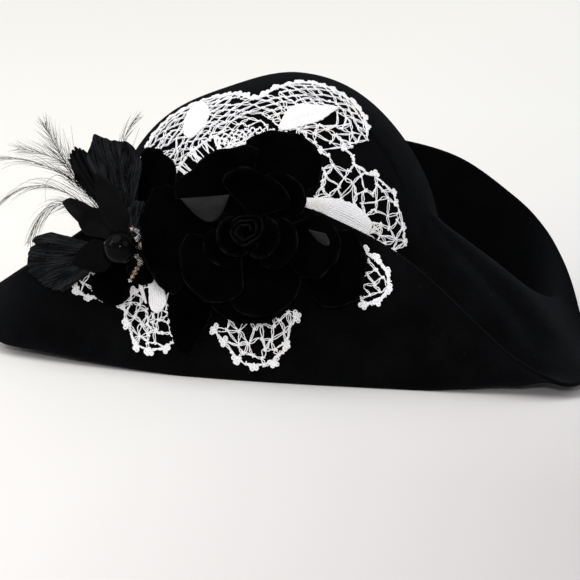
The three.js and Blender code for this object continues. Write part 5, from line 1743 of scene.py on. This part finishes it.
def make_bead():
    """A glossy bead, drilled from top to bottom."""
    shape = Shape()
    start = math.asin(BEAD_HOLE / BEAD_RADIUS)
    arc = [
        (BEAD_RADIUS * math.sin(a), -BEAD_RADIUS * math.cos(a))
        for a in np.linspace(start, math.pi - start, 60)
    ]
    depth = BEAD_RADIUS * math.cos(start)
    hole = [(BEAD_HOLE * share, depth - under) for share, under in HOLE_STEPS]
    profile = [*((radius, -out) for radius, out in hole), *arc, *reversed(hole)]
    middle = FLOWER_HUB_FRONT + GAP + BEAD_RADIUS

    def standing(x, y, along):
        return FLOWER(x, np.asarray(along) + 0 * np.asarray(x), middle - np.asarray(y))

    turned(shape, standing, profile, 72)
    shape.piece("flower_bead", "bead")


def faceted_bead(shape, middle, axis, radius, rng):
    """A small cut bead: four rings along its axis, the outer ones narrow."""
    first = unit(np.cross(axis, rng.normal(0, 1, 3)))
    second = np.cross(axis, first)
    radius = radius * rng.uniform(CUT_LEAST, 1.0)
    sides = CUT_SIDES
    points, faces = [], []
    for level, wide in CUT_RINGS:
        for side in range(sides):
            turn = 2 * math.pi * (side + 0.5 * (level > 0)) / sides
            flat = first * math.cos(turn) + second * math.sin(turn)
            points.append(middle + axis * level * radius * CUT_LENGTH + flat * wide * radius)
    for level in range(3):
        for side in range(sides):
            a, b = level * sides + side, level * sides + (side + 1) % sides
            faces += [(a, b, b + sides), (a, b + sides, a + sides)]
    ends = [range(sides - 1, -1, -1)], [range(3 * sides, 4 * sides)]
    shape.add(points, [np.array(faces), *(np.array(end) for end in ends)])


def make_stamens():
    for k, (beads, path) in enumerate(STAMENS):
        shape = Shape()
        rng = np.random.default_rng(70 + k)
        wire, length = smooth_path(path, 24)
        spots = FLOWER(wire[:, 0], wire[:, 1], wire[:, 2])
        tubes(shape, spots[None], np.array([0.0, 0, 1]), STRING_WIRE / 2, 8)
        number = max(int(length / STRING_PITCH), beads)
        centres, _ = smooth_path(path, 2 * number + 1)
        for place in range(number):
            middle = FLOWER(*centres[2 * place + 1]).reshape(3)
            before = FLOWER(*centres[2 * place]).reshape(3)
            after = FLOWER(*centres[2 * place + 2]).reshape(3)
            faceted_bead(shape, middle, unit(after - before), STRING_BEAD, rng)
        shape.piece(f"stamen_{k + 1}", "crystal", smooth=False)


def feather_spine(row, v):
    angle, bend, late, reach = row[1:5]
    direction = np.radians(angle + bend * np.maximum(v, 0) ** late)
    distance = FLOWER_ROOT + (reach - FLOWER_ROOT) * v
    return np.stack([distance * np.cos(direction), distance * np.sin(direction)], -1)


# Radii of a feather's quill, barbs and loose strands, the barbs' span and how it and their lean vary, and how
# many each side has.
QUILL, QUILL_TAPER = 0.36, 0.29
BARB_RADII = (0.13, 0.03)
STRAND_RADII = (0.17, 0.06)
BARB_SPAN, BARB_SPAN_BODY = 0.10, 0.11
BARB_SPAN_SPREAD = (0.6, 1.25)
BARB_LEAN_SPREAD = (0.3, 1.6)
BARBS = {"up_right": 40, "up": 84, "up_left": 54, "left_thin": 30, "left": 34, "left_low": 62}
# Single loose strands of the feathers, across and up in the flower's own plane.
STRANDS = {
    "left_thin": [
        ((-35, 36), (-49, 43.5), (-64.3, 46), (-75.4, 45.5), (-83, 42.4)),
        ((-35, 35.5), (-52, 46), (-62, 51), (-72.5, 54)),
    ],
    "left": [
        ((-37, 34), (-46.7, 40.3), (-53.9, 37), (-55.5, 30), (-54.5, 24)),
        ((-36, 31), (-52, 37.6), (-64, 37), (-76, 30), (-80, 25)),
    ],
    "left_low": [
        ((-40, 22), (-44.5, 20.9), (-52.9, 15.8), (-58, 9), (-61.5, 2.4)),
        ((-39, 24), (-47, 25), (-54, 21), (-59, 12), (-61, 4)),
    ],
    "up": [
        ((-33, 33), (-43, 52), (-50, 66)),
        ((-33, 33), (-40, 52), (-46, 68)),
        ((-34, 34), (-45, 50), (-55, 62)),
        ((-33, 34), (-38, 54), (-41, 70)),
        ((-34, 33), (-47, 50), (-57, 58)),
    ],
    "up_right": [((-8, 44), (-3, 58), (1, 70)), ((-6, 44), (2, 54), (8, 58))],
}


def feather_barb(row, side, begin, rng):
    """A barb that leaves the quill at begin, leans along it, and runs on past its end."""
    reach, half, layer, rise = row[4:]
    body = math.sin(math.pi * min(max(0.04 + 0.9 * begin, 0), 1)) ** 0.8
    span = (BARB_SPAN + BARB_SPAN_BODY * body) * rng.uniform(*BARB_SPAN_SPREAD)
    lateral = side * half * (0.25 + 1.25 * body) * rng.uniform(*BARB_LEAN_SPREAD)
    t = np.linspace(0, 1, 7)
    v = begin + span * t
    held = np.minimum(v, 1.0)
    way = feather_spine(row, held + 0.01) - feather_spine(row, held - 0.01)
    way = way / np.linalg.norm(way, axis=-1, keepdims=True)
    beyond = np.maximum(v - 1.0, 0)[:, None] * (reach - FLOWER_ROOT) * 0.6
    swing = lateral * t ** 0.8
    flat = feather_spine(row, held) + way * beyond + np.stack([-way[:, 1], way[:, 0]], -1) * swing[:, None]
    out = layer + rise * v ** 2 + 0.5 * rng.uniform(-1, 1) * t
    return FLOWER(flat[:, 0], flat[:, 1], out)


def make_feathers():
    for k, row in enumerate(FEATHERS):
        name, layer, rise = row[0], row[6], row[7]
        rng = np.random.default_rng(90 + k)
        shape = Shape()
        share = np.linspace(0, 1.0, 40)
        spot = feather_spine(row, share)
        quill = FLOWER(spot[:, 0], spot[:, 1], layer + rise * share ** 2)
        front = unit(np.array(FLOWER_OUT, float))
        tubes(shape, quill[None], front, QUILL - QUILL_TAPER * share[None], 7)
        count = BARBS[name]
        barbs = [
            feather_barb(row, side, place + rng.uniform(-0.5, 0.5) / count, rng)
            for side in (-1, 1) for place in np.linspace(0.03, 1.0, count)
        ]
        tubes(shape, np.array(barbs), front, np.linspace(*BARB_RADII, 7)[None, :], 3)
        for path in STRANDS.get(name, ()):
            flat, _ = smooth_path(path, 30)
            strand = FLOWER(flat[:, 0], flat[:, 1], np.full(30, layer))
            tubes(shape, strand[None], front, np.linspace(*STRAND_RADII, 30)[None], 5)
        shape.piece(f"feather_{name}", "feather")


make_hub("rose_hub", ROSE, ROSE_HUB_RADIUS, ROSE_HUB_BACK, ROSE_HUB_FRONT)
make_hub("flower_hub", FLOWER, FLOWER_HUB_RADIUS, FLOWER_HUB_BACK, FLOWER_HUB_FRONT)
make_petals("rose_petal_", ROSE, ROSE_ROOT, ROSE_PETALS, 100)
make_petals("flower_petal_", FLOWER, FLOWER_ROOT, FLOWER_PETALS, 500)
make_bud()
make_folds()
make_leaf()
make_bead()
make_stamens()
make_feathers()


def add_light(name, kind, place, energy, **settings):
    data = bpy.data.lights.new(name, kind)
    data.energy = energy
    for key, value in settings.items():
        setattr(data, key, value)
    light = bpy.data.objects.new(name, data)
    light.location = place
    light.rotation_euler = (Vector(LIT) - Vector(place)).to_track_quat("-Z", "Y").to_euler()
    bpy.context.scene.collection.objects.link(light)


FLOOR_RADIUS = 6.0


def make_stage():
    rings, sides = 10, 72
    points = [(0.0, 0.0, 0.0)]
    for ring in range(1, rings + 1):
        radius = FLOOR_RADIUS * (ring / rings) ** 2
        points += [
            (radius * math.cos(2 * math.pi * k / sides), radius * math.sin(2 * math.pi * k / sides), 0.0)
            for k in range(sides)
        ]
    faces = [(0, 1 + k, 1 + (k + 1) % sides) for k in range(sides)]
    for ring in range(rings - 1):
        start = 1 + ring * sides
        faces += [
            (start + k, start + sides + k, start + sides + (k + 1) % sides, start + (k + 1) % sides)
            for k in range(sides)
        ]
    mesh = bpy.data.meshes.new("floor")
    mesh.from_pydata(points, [], faces)
    mesh.materials.append(floor_material())
    floor = bpy.data.objects.new("floor", mesh)
    bpy.context.scene.collection.objects.link(floor)


# The camera's direction and distance, the width of what it sees there, and the place that it looks at:
# a height on the crown's axis, moved to the right and down across the view.
CAMERA_AZIMUTH = math.radians(20.0)
CAMERA_ELEVATION = math.radians(12.5)
CAMERA_DISTANCE = 2000.0
FIELD = 353.8
SENSOR = 36.0
AIM_HEIGHT = 35.0
AIM_RIGHT = 7.9
AIM_DOWN = 2.4


def make_camera():
    sine, cosine = math.sin(CAMERA_AZIMUTH), math.cos(CAMERA_AZIMUTH)
    rise, level = math.sin(CAMERA_ELEVATION), math.cos(CAMERA_ELEVATION)
    back = np.array([sine * level, -cosine * level, rise])
    right = np.array([cosine, sine, 0.0])
    up = np.cross(back, right)
    target = np.array([0, 0, AIM_HEIGHT]) + right * AIM_RIGHT - up * AIM_DOWN + SHIFT
    eye = (target + back * CAMERA_DISTANCE) / METRE
    data = bpy.data.cameras.new("camera")
    data.sensor_width = SENSOR
    data.lens = SENSOR * CAMERA_DISTANCE / FIELD
    data.dof.use_dof = False
    data.clip_start = 0.05
    data.clip_end = 30.0
    camera = bpy.data.objects.new("camera", data)
    camera.matrix_world = Matrix((
        (right[0], up[0], back[0], eye[0]),
        (right[1], up[1], back[1], eye[1]),
        (right[2], up[2], back[2], eye[2]),
        (0, 0, 0, 1),
    ))
    bpy.context.scene.collection.objects.link(camera)
    bpy.context.scene.camera = camera
    return eye, up


# The lights aim at this place, in metres. The flash stands this far above the camera.
LIT = (0.0, 0.0, 0.06)
FLASH_RISE = 0.22
WORLD_LIGHT = 0.55


def make_lights(eye, up):
    scene = bpy.context.scene
    scene.view_settings.view_transform = "Standard"
    scene.view_settings.look = "None"
    scene.view_settings.exposure = 0.0
    scene.view_settings.gamma = 1.0
    world = bpy.data.worlds.new("world")
    world.use_nodes = True
    world.node_tree.nodes["Background"].inputs["Color"].default_value = (1.0, 0.995, 0.99, 1)
    world.node_tree.nodes["Background"].inputs["Strength"].default_value = WORLD_LIGHT
    scene.world = world
    add_light("sky", "SUN", (-0.6, -0.7, 2.0), 1.75, angle=math.radians(55))
    add_light("flash", "AREA", tuple(eye + up * FLASH_RISE), 14.0, shape="SQUARE", size=0.16)
    add_light("window", "AREA", (-1.5, -1.1, 1.1), 12.0, shape="RECTANGLE", size=0.7, size_y=1.0)
    add_light("fill", "AREA", (1.5, -0.8, 1.2), 7.0, shape="RECTANGLE", size=1.2, size_y=1.0)


make_stage()
make_lights(*make_camera())
